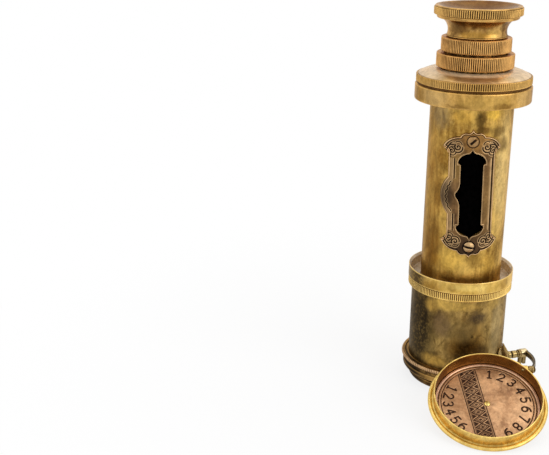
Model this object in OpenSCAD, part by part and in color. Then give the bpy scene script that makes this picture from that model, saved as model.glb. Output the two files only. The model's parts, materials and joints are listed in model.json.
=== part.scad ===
// Hand telescope with three draw tubes, a sliding ray shade, a sight window and a hinged lens cap.
// It stands on its foot with the draws closed and the cap swung open beside it.
// Millimetres. The origin is on the foot's lower face, on the tubes' axis.
// +Z runs up the tubes to the eyecup and -Y is the side that the window faces.

/* [Ray shade and foot] */
// Outer radius of the shade tube
shade_r = 19.4; // [19:0.1:19.6]
// Wall of the shade tube
shade_wall = 0.9; // [0.8:0.1:1.2]
// Height of the shade tube's upper end
shade_top = 41; // [38:0.5:44]
// Largest radius of the spigot that the cap goes over
foot_r = 19; // [18.6:0.1:19.2]
// Radius of the light opening in the foot
mouth_r = 15.6; // [14:0.1:15.8]
// Outer radius of the ledge above the foot
ledge_r = 22.2; // [21.6:0.1:22.6]
// Height of the ledge's upper face
ledge_top = 9.9; // [9.5:0.1:10.2]
// Outer radius of the open cup round the barrel
cup_r = 21.05; // [20.5:0.05:21.5]
// Height of the cup's rim
cup_top = 49.1; // [47:0.1:51]

/* [Main barrel] */
// Outer radius of the main barrel
barrel_r = 16.1; // [16:0.05:16.2]
// Wall of the main barrel
barrel_wall = 0.8; // [0.6:0.1:0.9]
// Height of the barrel's lower end
barrel_low = 12; // [11:0.5:13]
// Outer radius of the flange band at the barrel's upper end
flange_r = 22.4; // [21.5:0.1:23]
// Height of the flange band's lower edge
flange_low = 118.2; // [116:0.1:119]
// Height of the top of the flange's dome
dome_top = 130.1; // [129.5:0.1:130.4]

/* [Window plate] */
// Height of the plate's middle
plate_z = 83.9; // [83:0.1:85]
// Half of the plate's height from point to point
plate_half = 26.1; // [25:0.1:27]
// Half of the plate's width along its straight sides
plate_side = 8.7; // [8:0.1:9]
// Half of the window's width between its steps
window_side = 4.4; // [4:0.1:5]
// Half of the window's height from point to point
window_half = 18.5; // [18:0.1:19]
// Thickness of the plate
plate_thick = 0.8; // [0.6:0.1:1]
// How far the plate leans on the barrel, in degrees
plate_lean = 1.6; // [0:0.1:2]

/* [Draw tubes] */
// Outer radii of the first draw, the second draw and the eyepiece tube
draw_r = [13, 11.8, 10.6];
// Wall of each draw tube
draw_wall = 0.6; // [0.5:0.05:0.65]
// Heights of the draw tubes' lower ends
draw_low = [24, 27, 30];
// Radii of the milled collars of the first and second draws
collar_r = [14.8, 13.3];
// Lower and upper faces of the first collar
collar_one_z = [130.9, 136.1];
// Lower and upper faces of the second collar
collar_two_z = [136.9, 142.1];

/* [Eyecup] */
// Lower face of the eyecup's neck
neck_low = 142.4; // [142.3:0.1:142.8]
// Radius of the neck at its narrowest
neck_r = 11.1; // [11:0.1:11.6]
// Radius of the milled band
eyecup_r = 16.65; // [16:0.05:17]
// Height of the rim
eyecup_top = 153.9; // [153.6:0.1:154.4]
// Radius of the eye hole
eye_hole_r = 3.2; // [2.5:0.1:4]

/* [Cap] */
// Inner radius of the cap's skirt
cap_bore = 20; // [19.9:0.05:20.1]
// Outer radius of the cap's skirt
cap_r = 20.5; // [20.45:0.05:20.7]
// Depth inside the cap
cap_depth = 6.5; // [6:0.1:6.6]
// Height of the cap's rim when it is closed over the foot
cap_closed_z = 3; // [2.5:0.1:3]

/* [Cap hinge] */
// Distance of the bracket pin from the tubes' axis
pin_a_r = 28.7; // [28.5:0.1:29]
// Direction of the bracket pin's middle from the tubes' axis, in degrees
pin_a_at = 1.7; // [1:0.1:2.5]
// Height of the bracket pin
pin_a_z = 9.8; // [9.6:0.1:10]
// Direction in which the bracket pin points, in degrees
pin_a_dir = 22; // [21:0.5:23]
// Distance of the cap's pin from the cap's middle
pin_b_r = 22.5; // [22.4:0.1:22.8]
// Direction of the cap's pin from the tubes' axis while the cap is closed, in degrees
pin_b_at = 76; // [75.5:0.5:76.5]
// Height of the cap's pin while the cap is closed
pin_b_z = 1.05; // [0.8:0.05:1.2]
// Direction in which the cap's pin points while the cap is closed, in degrees
pin_b_dir = 40.5; // [40:0.5:41]
// How far the cap's pin points down while the cap is closed, in degrees
pin_b_dip = 1.7; // [1.5:0.1:2]
// Turn of the link about the bracket pin from closed to the open position shown, in degrees
link_open = -179; // [-180:0.5:-178]
// Turn of the cap about its own pin from closed to the open position shown, in degrees
cap_open = 201; // [200:0.5:202]
// Radius of both pins
pin_r = 0.7; // [0.6:0.05:0.8]
// Thickness and width of the link's strap
strap = [1, 2.2];

/* [Fits] */
// Radial clearance of the sliding tubes
slide_fit = 0.07; // [0.05:0.01:0.1]
// Radial clearance of a joint that is soldered or pressed
seat = 0.02; // [0.01:0.01:0.03]
// Radial clearance of the hinge pins
pin_fit = 0.05; // [0.03:0.01:0.08]

/* [Hidden] */
$fn = 96;

foot_land = 5.4;
spigot_top = 4.2;
spigot_r = 17.3;
ledge_edge = 0.65;
cup_floor = 44.7;
flange_top = 124.7;
disc_z = [125.1, 127.9];
disc_r = 22.1;
dome_r = 14;
guide_low = [112, 120, 126];
liner_z = [60, 108];
liner_bore = 15;
stop_tall = 5;
lip_tall = 1;
lip_gap = 0.3;
screw_at = 21.1;
screw_r = 2.05;
shank_r = 0.95;
shank_gap = 0.05;
lens_r = 14.25;
lens_seat = 8.2;
lens_air = 0.1;
flint_low = 10.3;
flint_high = 13.6;
cell_mouth_r = 13.2;
eye_lens_r = 9.15;
field_lens_z = [127.4, 129];
eye_lens_z = [146.2, 147.6];
eyecup_floor = 150.3;
far = 200;

// Sizes that follow from others or seldom change
barrel_bore = barrel_r - barrel_wall;
shade_bore = shade_r - shade_wall;
cup_guide_bore = barrel_r + slide_fit;
cup_bore = cup_r - 1.05;
cap_bead_r = 0.8;
cap_floor_low = cap_depth + 0.6;
erector_z = [34, 92];
eye_tube_top = 144.4;
cell_r = draw_r[2] - draw_wall - seat;
cell_bore = eye_lens_r + seat;
lens_edge = lens_r - cell_mouth_r + 0.1;

// One quarter of the plate's edge, from the point at the top round to its straight side
plate_quarter = [
  [0, 0], [0, plate_half], [0.7, plate_half - 1.2], [1.9, 24.2], [3.6, 24], [4.6, 23.2], [5.7, 22.6],
  [7.6, 22], [9.2, 21.1], [10.3, 19.9], [10.8, 18.7], [9.5, 18.3], [8.9, 17.4], [plate_side, 16], [plate_side, 0]
];
plate_lobe_r = 12.1;
plate_lobe_out = 11.3;

brass = "#b5924f";
dark_brass = "#8a7347";
yellow_brass = "#c9a357";
copper = "#a9745a";
black = "#141210";
bronze = "#7a5c38";
lens_glass = "#cfe0dc";

pin_a = [pin_a_r * cos(pin_a_at), pin_a_r * sin(pin_a_at), pin_a_z];
axis_a = [cos(pin_a_dir), sin(pin_a_dir), 0];
pin_b = [pin_b_r * cos(pin_b_at), pin_b_r * sin(pin_b_at), pin_b_z];
axis_b = [cos(pin_b_dir) * cos(pin_b_dip), sin(pin_b_dir) * cos(pin_b_dip), -sin(pin_b_dip)];

// Bracket on the ledge, measured along the pin's direction from its middle: [along, above the ledge]
bracket_half = 1.5;
boss_r = 1.6;
boss_out = -2.9;
boss_in = -7.6;
pin_in = -6.2;
ears = [[-10, 0], [-9.5, 2.7], [-8.8, 2.3], [-8.1, 1.1], [-7.3, 3], [-5.4, 1.3], [-4.8, 0]];

// The link's strap: an arc from the outer end of its upper eye to the cap's pin, bowed away from the foot
eye_a_half = 2.1;
eye_a_r = 1.9;
eye_a_at = -0.6;
eye_b_half = 1;
eye_b_r = 1.5;
slot = 0.5;
strap_bow = 2.2;
strap_from = pin_a + 1.1 * axis_a;
strap_chord = pin_b + 0.2 * axis_b - strap_from;
strap_long = norm(strap_chord);
strap_e1 = strap_chord / strap_long;
strap_away = [cos(40), sin(40), 0];
strap_side = strap_away - (strap_away * strap_e1) * strap_e1;
strap_e2 = strap_side / norm(strap_side);
strap_e3 = cross(strap_e2, strap_e1);
strap_r = (strap_long * strap_long / 4 + strap_bow * strap_bow) / (2 * strap_bow);
strap_half = asin(strap_long / 2 / strap_r);
strap_mid = strap_from + strap_chord / 2 - (strap_r - strap_bow) * strap_e2;

// A plain tube from height z[0] to z[1]
module tube(z, r_out, r_in) {
  translate([0, 0, z[0]])
    difference() {
      cylinder(h = z[1] - z[0], r = r_out);
      translate([0, 0, -1]) cylinder(h = z[1] - z[0] + 2, r = r_in);
    }
}

// A rectangle in a turned profile, from radius r[0] to r[1] and height z[0] to z[1]
module band(r, z) {
  translate([r[0], z[0]]) square([r[1] - r[0], z[1] - z[0]]);
}

// A rounded band in a turned profile: its edge is a half circle of the band's own height
module bead(r, z) {
  round_r = (z[1] - z[0]) / 2;
  band([0, r - round_r], z);
  translate([r - round_r, z[0] + round_r]) circle(r = round_r);
}

// Moves what is modelled with the cap closed to where the link holds it in the open position
module with_link() {
  translate(pin_a) rotate(a = link_open, v = axis_a) translate(-pin_a) children();
}

// Moves what is modelled with the cap closed to the open position shown
module with_cap() {
  with_link()
    translate(pin_b) rotate(a = cap_open, v = axis_b) translate(-pin_b) children();
}

// Lays +Z of what follows along a pin's axis, with the origin at the pin's middle
module along_a() {
  translate(pin_a) rotate([0, 90, pin_a_dir]) children();
}

module along_b() {
  translate(pin_b) rotate([0, 90 + pin_b_dip, pin_b_dir]) children();
}

// Ray shade

module shade_tube() {
  color(dark_brass) tube([foot_land, shade_top], shade_r, shade_bore);
}

// Ring round the light opening: the cap goes over its rounded foot, and a spigot holds it in the base ring
module mouth_ring() {
  color(brass)
    rotate_extrude()
      difference() {
        union() {
          band([0, 18.1], [0, spigot_top]);
          translate([foot_r - 1.4, 1.6]) circle(r = 1.4);
          band([0, spigot_r], [0, foot_land]);
        }
        band([-1, mouth_r], [-1, far]);
      }
}

module base_ring() {
  color(brass)
    rotate_extrude()
      difference() {
        union() {
          bead(21.5, [spigot_top, 6.6]);
          band([0, 21.1], [6, 8.7]);
          bead(ledge_r, [ledge_top - 2 * ledge_edge, ledge_top]);
        }
        translate([22.1, 7.6]) circle(r = 1.2);
        band([-1, spigot_r + seat], [-1, far]);
        band([-1, shade_r + seat], [foot_land, far]);
      }
}

module cup_collar() {
  color(yellow_brass)
    rotate_extrude()
      difference() {
        union() {
          bead(cup_r - 0.1, [shade_top, shade_top + 1.2]);
          band([0, cup_r - 0.2], [shade_top + 0.5, 44]);
          band([0, cup_r], [44, cup_top]);
          band([0, shade_bore - seat], [shade_top - 3, shade_top + 1]);
        }
        band([-1, cup_guide_bore], [-1, far]);
        band([-1, cup_bore], [cup_floor, far]);
      }
}

// Bracket on the ledge: two small ears and a boss that holds the link's pin
module hinge_bracket() {
  color(dark_brass)
    difference() {
      union() {
        translate([pin_a[0], pin_a[1], ledge_top])
          rotate([90, 0, pin_a_dir])
            translate([0, 0, -bracket_half]) linear_extrude(2 * bracket_half) polygon(ears);
        along_a() translate([0, 0, boss_in]) cylinder(h = boss_out - boss_in, r = boss_r);
      }
      translate([0, 0, -1]) cylinder(h = ledge_top + 1, r = ledge_r + seat);
      cylinder(h = far, r = shade_r + seat);
      along_a() translate([0, 0, pin_in]) cylinder(h = 8, r = pin_r);
    }
}

// A pin with a low domed head, from depth low to the head's seat at high
module headed_pin(low, high) {
  translate([0, 0, low]) cylinder(h = high - low, r = pin_r);
  translate([0, 0, high])
    rotate_extrude()
      intersection() {
        translate([0, -1.1]) circle(r = 1.7);
        band([0, 1.25], [0, 1]);
      }
}

module bracket_pin() {
  color(yellow_brass) along_a() headed_pin(pin_in, eye_a_at + eye_a_half + 0.25);
}

// Main barrel and window

// Puts an outline drawn as width and height on the barrel's front, as a block that passes through its wall
module through_front() {
  translate([0.25, 0, plate_z])
    rotate([0, -plate_lean, 0])
      rotate([90, 0, 0]) linear_extrude(30) children();
}

module plate_outline() {
  for (sx = [0, 1], sy = [0, 1])
    mirror([sx, 0]) mirror([0, sy]) polygon(plate_quarter);
  intersection() {
    translate([plate_lobe_r - plate_lobe_out, -0.6]) circle(r = plate_lobe_r);
    translate([-plate_lobe_out - 1, -9]) square([8, 18]);
  }
}

// The window's edge, grown by the width of its rim where that is asked for
module window_outline(grow = 0) {
  step_z = 12 + grow;
  head = 5.5 + grow;
  quarter = [
    [0, 0], [0, window_half + 0.5 * grow], [0.6, 17.4 + grow], [1.4, 16.7 + grow], [3.1, 15.9 + grow],
    [4.7, 14.8 + grow], [head, 13.2 + grow], [head, 12 - grow], [window_side + grow, 12 - grow],
    [window_side + grow, 0]
  ];
  for (sx = [0, 1], sy = [0, 1])
    mirror([sx, 0]) mirror([0, sy]) polygon(quarter);
  notch = [[0, 5 + grow], [-window_side - grow, 5 + grow], [-5 - grow, 2.3 + grow], [-5.9 - grow, 0.9],
           [-6.1 - grow, 0], [-5.9 - grow, -0.9], [-5 - grow, -2.3 - grow], [-window_side - grow, -5 - grow],
           [0, -5 - grow]];
  polygon(notch);
}

// Drills or fills the two screw places of the plate, from radius r[0] to r[1]
module at_screws(r) {
  translate([0.25, 0, plate_z])
    rotate([0, -plate_lean, 0])
      for (z = [-screw_at, screw_at])
        translate([0, -r[0], z]) rotate([90, 0, 0]) children();
}

module main_barrel() {
  color(brass)
    difference() {
      tube([barrel_low, flange_top - 0.4], barrel_r, barrel_bore);
      through_front() window_outline();
      at_screws([10, 20]) cylinder(h = 10, r = shank_r + shank_gap);
    }
}

module window_liner() {
  color(black) tube(liner_z, barrel_bore - seat, liner_bore);
}

module window_plate() {
  inner = barrel_r + seat;
  color(bronze)
    difference() {
      union() {
        intersection() {
          tube([50, 118], inner + plate_thick, inner);
          through_front() plate_outline();
        }
        intersection() {
          tube([50, 118], inner + plate_thick + 0.25, inner);
          through_front() window_outline(0.8);
        }
      }
      through_front() window_outline();
      at_screws([10, 20]) cylinder(h = 10, r = shank_r + shank_gap);
    }
}

module plate_screws() {
  seat_r = barrel_r + seat + plate_thick;
  color(bronze)
    at_screws([barrel_bore + 0.1, 20]) {
      cylinder(h = seat_r - barrel_bore, r = shank_r);
      translate([0, 0, seat_r - barrel_bore - 0.1])
        difference() {
          rotate_extrude()
            intersection() {
              translate([0, -2.4]) circle(r = 3.3);
              band([0, screw_r], [0, 1]);
            }
          rotate([0, 0, 52]) translate([-3, -0.3, 0.45]) cube([6, 0.6, 2]);
        }
    }
}

module flange_cup() {
  color(brass)
    rotate_extrude()
      difference() {
        union() {
          band([0, flange_r - 0.1], [flange_low, 118.7]);
          band([0, flange_r], [118.5, 123.9]);
          band([0, flange_r - 0.3], [123.5, 124.2]);
          band([0, 21.6], [124, flange_top]);
        }
        band([-1, barrel_r + seat], [-1, far]);
        band([-1, flange_r - 1.1], [-1, 122.6]);
      }
}

module flange_cover() {
  rise = dome_top - disc_z[1];
  reach = 21.6 - dome_r;
  arc_r = (reach * reach + rise * rise) / (2 * rise);
  color(brass)
    rotate_extrude()
      difference() {
        union() {
          band([0, 21.5], [flange_top, disc_z[0] + 0.5]);
          bead(disc_r, [disc_z[0], disc_z[0] + 1.1]);
          band([0, disc_r - 0.1], [disc_z[0] + 0.5, disc_z[1] - 0.5]);
          bead(disc_r, [disc_z[1] - 1.1, disc_z[1]]);
          band([0, dome_r], [disc_z[1] - 0.2, dome_top]);
          intersection() {
            translate([dome_r, dome_top - arc_r]) circle(r = arc_r);
            band([dome_r - 0.1, 21.6], [disc_z[1] - 0.2, dome_top]);
          }
        }
        band([-1, draw_r[0] + lip_gap], [-1, far]);
      }
}

module barrel_guide() {
  color(dark_brass) tube([guide_low[0], flange_top], barrel_bore - seat, draw_r[0] + slide_fit);
}

// Objective

module objective_cell() {
  color(dark_brass)
    rotate_extrude()
      difference() {
        union() {
          band([0, shade_bore - slide_fit], [6.5, barrel_low]);
          band([0, barrel_bore - seat], [6.5, 18]);
        }
        band([-1, cell_mouth_r], [-1, far]);
        band([-1, lens_r + seat], [lens_seat, far]);
      }
}

// A lens as a turned profile: a rim of radius r from z[0] to z[1], with faces that bulge by out[0] and out[1]
// inside a flat edge
module lens(r, z, out, edge = 0) {
  rotate_extrude()
    intersection() {
      band([0, r], [z[0] - 10, z[1] + 10]);
      union() {
        band([0, r], z);
        lens_face(r - edge, z[1], out[1]);
        translate([0, 2 * z[0]]) mirror([0, 1]) lens_face(r - edge, z[0], out[0]);
      }
    }
}

// The bulge of one lens face above height z
module lens_face(r, z, out) {
  if (out > 0) {
    arc_r = (r * r + out * out) / (2 * out);
    intersection() {
      translate([0, z + out - arc_r]) circle(r = arc_r, $fn = 360);
      band([0, r], [z, z + out + 1]);
    }
  }
}

module crown_lens() {
  color(lens_glass) lens(lens_r, [lens_seat, flint_low - lens_air], [1.2, 0], lens_edge);
}

module flint_lens() {
  color(lens_glass) lens(lens_r, [flint_low, flint_high], [0, 0.6]);
}

module objective_ring() {
  color(dark_brass) tube([flint_high + 0.1, flint_high + 2.1], lens_r, cell_mouth_r);
}

module barrel_stop() {
  color(black) tube([18.6, 20], barrel_bore - seat, 12.4);
}

// Draw tubes

// One draw's tube, from its lower end to the underside of its collar's lip
module draw_tube(number, top) {
  tube([draw_low[number], top], draw_r[number], draw_r[number] - draw_wall);
}

// Collar on a draw's upper end: a socket for the tube and a lip that clears the next tube
module collar(number, z) {
  color(dark_brass)
    rotate_extrude()
      difference() {
        union() {
          bead(collar_r[number], [z[0], z[0] + 0.9]);
          band([0, collar_r[number] - 0.15], [z[0] + 0.4, z[1] - 0.4]);
          bead(collar_r[number], [z[1] - 0.9, z[1]]);
        }
        band([-1, draw_r[number + 1] + lip_gap], [-1, far]);
        band([-1, draw_r[number] + seat], [-1, z[1] - lip_tall]);
      }
}

// Bush inside a draw's upper end, which the next tube slides in
module guide(number, top) {
  color(dark_brass)
    tube([guide_low[number + 1], top], draw_r[number] - draw_wall - seat, draw_r[number + 1] + slide_fit);
}

// Ring on a draw's lower end that stops it against the bush above and centres it in the tube outside
module stop_ring(number, outer_bore) {
  color(dark_brass)
    tube([draw_low[number], draw_low[number] + stop_tall], outer_bore - slide_fit, draw_r[number] + seat);
}

module first_draw_tube() {
  color(brass) draw_tube(0, collar_one_z[1] - lip_tall);
}

module first_collar() {
  collar(0, collar_one_z);
}

module first_guide() {
  guide(0, collar_one_z[1] - lip_tall);
}

module first_stop_ring() {
  stop_ring(0, liner_bore);
}

module second_draw_tube() {
  color(brass) draw_tube(1, collar_two_z[1] - lip_tall);
}

module second_collar() {
  collar(1, collar_two_z);
}

module second_guide() {
  guide(1, collar_two_z[1] - lip_tall);
}

module second_stop_ring() {
  stop_ring(1, draw_r[0] - draw_wall);
}

// Eyepiece

module eyepiece_tube() {
  color(brass) draw_tube(2, eye_tube_top);
}

module eye_stop_ring() {
  stop_ring(2, draw_r[1] - draw_wall);
}

module eyecup() {
  dish_r = 42;
  dish_low = 151.3;
  flare_r = 4.9;
  rim_round = 0.9;
  color(brass)
    rotate_extrude()
      difference() {
        union() {
          band([0, 11.6], [neck_low, 143.2]);
          band([0, 14], [142.8, 149.6]);
          bead(15.5, [149.1, 150.4]);
          band([0, eyecup_r], [150.3, eyecup_top - rim_round]);
          band([0, eyecup_r - rim_round], [150.3, eyecup_top]);
          translate([eyecup_r - rim_round, eyecup_top - rim_round]) circle(r = rim_round);
        }
        translate([neck_r + flare_r, 144.6]) circle(r = flare_r);
        intersection() {
          translate([0, dish_low + dish_r]) circle(r = dish_r, $fn = 360);
          band([-1, 14.8], [150, far]);
        }
        band([-1, eye_hole_r], [-1, far]);
        band([-1, draw_r[2] + seat], [-1, eye_tube_top]);
        band([-1, cell_r + seat], [-1, eyecup_floor]);
      }
}

module eyepiece_cell() {
  color(dark_brass)
    rotate_extrude()
      difference() {
        band([0, cell_r], [field_lens_z[0] - 1.4, eyecup_floor]);
        band([-1, 7.6], [-1, far]);
        band([-1, cell_bore], [field_lens_z[0], far]);
      }
}

module field_lens() {
  color(lens_glass) lens(eye_lens_r, field_lens_z, [0, 1.6]);
}

module lens_spacer() {
  color(black) tube([field_lens_z[1] + 0.25, eye_lens_z[0]], eye_lens_r, 8.5);
}

module eye_lens() {
  color(lens_glass) lens(eye_lens_r, eye_lens_z, [0, 1.9]);
}

module erector_tube() {
  color(dark_brass) tube(erector_z, cell_r, cell_bore);
}

module erector_lens_lower() {
  color(lens_glass) lens(eye_lens_r, [38, 39.6], [1.2, 0]);
}

module erector_stop() {
  color(black) tube([60, 61.2], eye_lens_r, 3);
}

module erector_lens_upper() {
  color(lens_glass) lens(eye_lens_r, [84, 85.6], [0, 1.2]);
}

// Link and cap

// A hinge eye about +Z, with rounded ends: half of its length and its radius
module eye(half, r, corner = 0.6) {
  rotate_extrude()
    intersection() {
      union() {
        band([0, r - corner], [-half, half]);
        band([0, r], [-half + corner, half - corner]);
        for (z = [-half + corner, half - corner])
          translate([r - corner, z]) circle(r = corner);
      }
      band([0, r], [-half, half]);
    }
}

// One prong that stands on the upper eye: its outline from the slot out to its rounded outer corner
module prong(high) {
  long = 4.6;
  thick = 1.9;
  tip = 0.5;
  rotate([90, 0, 0])
    linear_extrude(thick, center = true) {
      translate([-long, slot / 2]) square([long, high - tip - slot / 2]);
      translate([tip - long, high - tip - 0.1]) square([long - tip, tip + 0.1]);
      translate([tip - long, high - tip]) circle(r = tip);
    }
}

module strap_arc() {
  multmatrix([
    [strap_e2[0], strap_e1[0], strap_e3[0], strap_mid[0]],
    [strap_e2[1], strap_e1[1], strap_e3[1], strap_mid[1]],
    [strap_e2[2], strap_e1[2], strap_e3[2], strap_mid[2]],
    [0, 0, 0, 1]
  ])
    rotate([0, 0, -strap_half])
      rotate_extrude(angle = 2 * strap_half)
        translate([strap_r - strap[0] / 2, -strap[1] / 2]) square(strap);
}

module cap_link() {
  color(brass)
    with_link()
      difference() {
        union() {
          strap_arc();
          along_a() translate([0, 0, eye_a_at]) eye(eye_a_half, eye_a_r, 1.1);
          along_a() translate([0, 0, eye_a_at]) prong(1.8);
          along_a() translate([0, 0, eye_a_at]) mirror([0, 0, 1]) prong(1.35);
          along_b() eye(eye_b_half, eye_b_r);
        }
        along_a() translate([0, 0, -10]) cylinder(h = 20, r = pin_r + pin_fit);
        along_b() translate([0, 0, -10]) cylinder(h = 20, r = pin_r + pin_fit);
      }
}

// The cap, modelled closed over the foot

module cap_shell() {
  color(yellow_brass)
    with_cap()
      difference() {
        union() {
          translate([0, 0, cap_closed_z])
            rotate_extrude()
              difference() {
                union() {
                  band([0, cap_r], [-6.5, 0]);
                  band([0, cap_r + 1.3], [-5.6, -4.7]);
                  translate([cap_r + 1.3, -5.15]) circle(r = cap_bead_r);
                  translate([cap_r - 1, -6.2]) circle(r = cap_bead_r);
                  band([0, cap_r - 1], [-cap_floor_low, -6.2]);
                  band([0, cap_r - 2.2], [-cap_floor_low - 0.3, -6.2]);
                }
                band([-1, cap_bore], [-cap_depth, 1]);
              }
          along_b() translate([0, 0, -4]) cylinder(h = 2.8, r = boss_r);
        }
        translate([0, 0, cap_closed_z - cap_depth]) cylinder(h = 20, r = cap_bore);
        along_b() translate([0, 0, -3.6]) cylinder(h = 4, r = pin_r);
        translate([0, 0, cap_closed_z - 10]) cylinder(h = 10, r = 0.6);
      }
}

module cap_disc() {
  color(copper)
    with_cap() tube([cap_closed_z - cap_depth, cap_closed_z - cap_depth + 0.5], cap_bore - 0.15, 0.6);
}

module cap_stud() {
  color(yellow_brass)
    with_cap()
      translate([0, 0, cap_closed_z - cap_depth]) {
        translate([0, 0, -0.8]) cylinder(h = 1.5, r = 0.6 - seat);
        translate([0, 0, 0.5])
          rotate_extrude()
            intersection() {
              translate([0, -0.9]) circle(r = 1.6);
              band([0, 1.25], [0, 1]);
            }
      }
}

module cap_pin() {
  color(yellow_brass) with_cap() along_b() headed_pin(-3.6, eye_b_half + 0.25);
}

shade_tube();
mouth_ring();
base_ring();
cup_collar();
hinge_bracket();
bracket_pin();
main_barrel();
window_liner();
window_plate();
plate_screws();
flange_cup();
flange_cover();
barrel_guide();
objective_cell();
crown_lens();
flint_lens();
objective_ring();
barrel_stop();
first_draw_tube();
first_collar();
first_guide();
first_stop_ring();
second_draw_tube();
second_collar();
second_guide();
second_stop_ring();
eyepiece_tube();
eye_stop_ring();
eyecup();
eyepiece_cell();
eye_lens();
field_lens();
lens_spacer();
erector_tube();
erector_lens_lower();
erector_lens_upper();
erector_stop();
cap_link();
cap_shell();
cap_disc();
cap_stud();
cap_pin();
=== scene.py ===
"""Looks of a brass hand telescope: aged metal finishes, milled rings, engraved plate and cap, and the studio.

Sizes are in millimetres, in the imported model's own frame; make_object turns them into metres.
"""
from __future__ import annotations

import json
import logging
import math
from collections.abc import Callable, Sequence
from dataclasses import dataclass, field
from enum import Enum

import bpy
import numpy as np
from mathutils import Euler, Matrix, Vector

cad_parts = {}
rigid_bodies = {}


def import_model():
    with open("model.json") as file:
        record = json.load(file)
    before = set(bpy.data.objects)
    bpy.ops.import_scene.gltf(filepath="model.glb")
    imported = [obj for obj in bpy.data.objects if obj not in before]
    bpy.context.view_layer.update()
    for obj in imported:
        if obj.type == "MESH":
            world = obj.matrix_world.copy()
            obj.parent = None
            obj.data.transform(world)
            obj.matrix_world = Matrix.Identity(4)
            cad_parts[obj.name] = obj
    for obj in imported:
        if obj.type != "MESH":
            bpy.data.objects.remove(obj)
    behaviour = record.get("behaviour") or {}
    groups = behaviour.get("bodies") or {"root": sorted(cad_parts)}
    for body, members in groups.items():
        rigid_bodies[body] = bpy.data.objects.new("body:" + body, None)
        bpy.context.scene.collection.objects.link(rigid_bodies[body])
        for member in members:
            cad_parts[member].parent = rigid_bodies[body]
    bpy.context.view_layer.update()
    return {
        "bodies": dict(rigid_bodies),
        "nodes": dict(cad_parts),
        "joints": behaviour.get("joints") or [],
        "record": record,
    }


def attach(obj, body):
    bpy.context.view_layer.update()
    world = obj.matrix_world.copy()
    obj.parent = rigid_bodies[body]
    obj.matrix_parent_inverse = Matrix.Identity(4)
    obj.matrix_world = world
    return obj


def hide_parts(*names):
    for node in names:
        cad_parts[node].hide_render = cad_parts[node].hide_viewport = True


log = logging.getLogger("telescope")

# A millimetre in metres, the side of the object that faces the photograph's camera and a full turn in radians
MILLIMETRE = 0.001
FRONT = -1.6684
FULL_TURN = 2 * np.pi
UP = np.array([0.0, 0.0, 1.0])

Rgb = tuple[float, float, float]
Place = tuple[float, float, float]
Spot = tuple[float, float]
Socket = bpy.types.NodeSocket
Pair = tuple[np.ndarray, np.ndarray]
Relief = Callable[[np.ndarray, np.ndarray, np.ndarray], Pair]


# Shapes worked out on grids


@dataclass
class Grid:
    """A surface as rows and columns of points, with a wear and a tint value at each point.

    Wear is 1 on a crest that hands rub bright and -1 in a recess where dirt stays.
    Tint is 1 where the finish has its second colour; on the link's knuckle and the flange's dome that colour
    is a painted highlight.
    A pole is a row whose points are all one point.
    """

    points: np.ndarray
    wear: np.ndarray
    tint: np.ndarray | float = 0.0
    wrap_rows: bool = False
    wrap_columns: bool = False
    pole_first: bool = False
    pole_last: bool = False

    def faces(self) -> tuple[np.ndarray, np.ndarray]:
        """Indexes of the grid's quads and triangles.

        Returns:
            The quads as (count, 4) and the triangles at the poles as (count, 3).
        """
        rows, columns = self.points.shape[:2]
        index = np.arange(rows * columns).reshape(rows, columns)
        if self.pole_first:
            index[0] = index[0, 0]
        if self.pole_last:
            index[-1] = index[-1, 0]
        down = np.roll(index, -1, 0) if self.wrap_rows else index[1:]
        here = index if self.wrap_rows else index[:-1]
        if self.wrap_columns:
            right, down_right = np.roll(here, -1, 1), np.roll(down, -1, 1)
        else:
            here, right, down, down_right = here[:, :-1], here[:, 1:], down[:, :-1], down[:, 1:]
        quads = np.stack([here, right, down_right, down], -1).reshape(-1, 4)
        top = quads[:, 0] == quads[:, 1]
        low = quads[:, 2] == quads[:, 3]
        triangles = np.concatenate([quads[top][:, [0, 2, 3]], quads[low & ~top][:, [0, 1, 2]]])
        return quads[~top & ~low], triangles

    def volume(self, quads: np.ndarray, triangles: np.ndarray) -> float:
        """Six times the volume inside the surface: the sum of the triple products of its triangles' corners.

        Args:
            quads: The surface's quads.
            triangles: The surface's triangles.

        Returns:
            The signed value, which is negative where the faces point inwards.
        """
        flat = self.points.reshape(-1, 3)
        corners = np.concatenate([quads[:, [0, 1, 2]], quads[:, [0, 2, 3]], triangles])
        a, b, c = (flat[corners[:, k]] for k in range(3))
        return float(np.einsum("ij,ij->i", a, np.cross(b, c)).sum())


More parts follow.
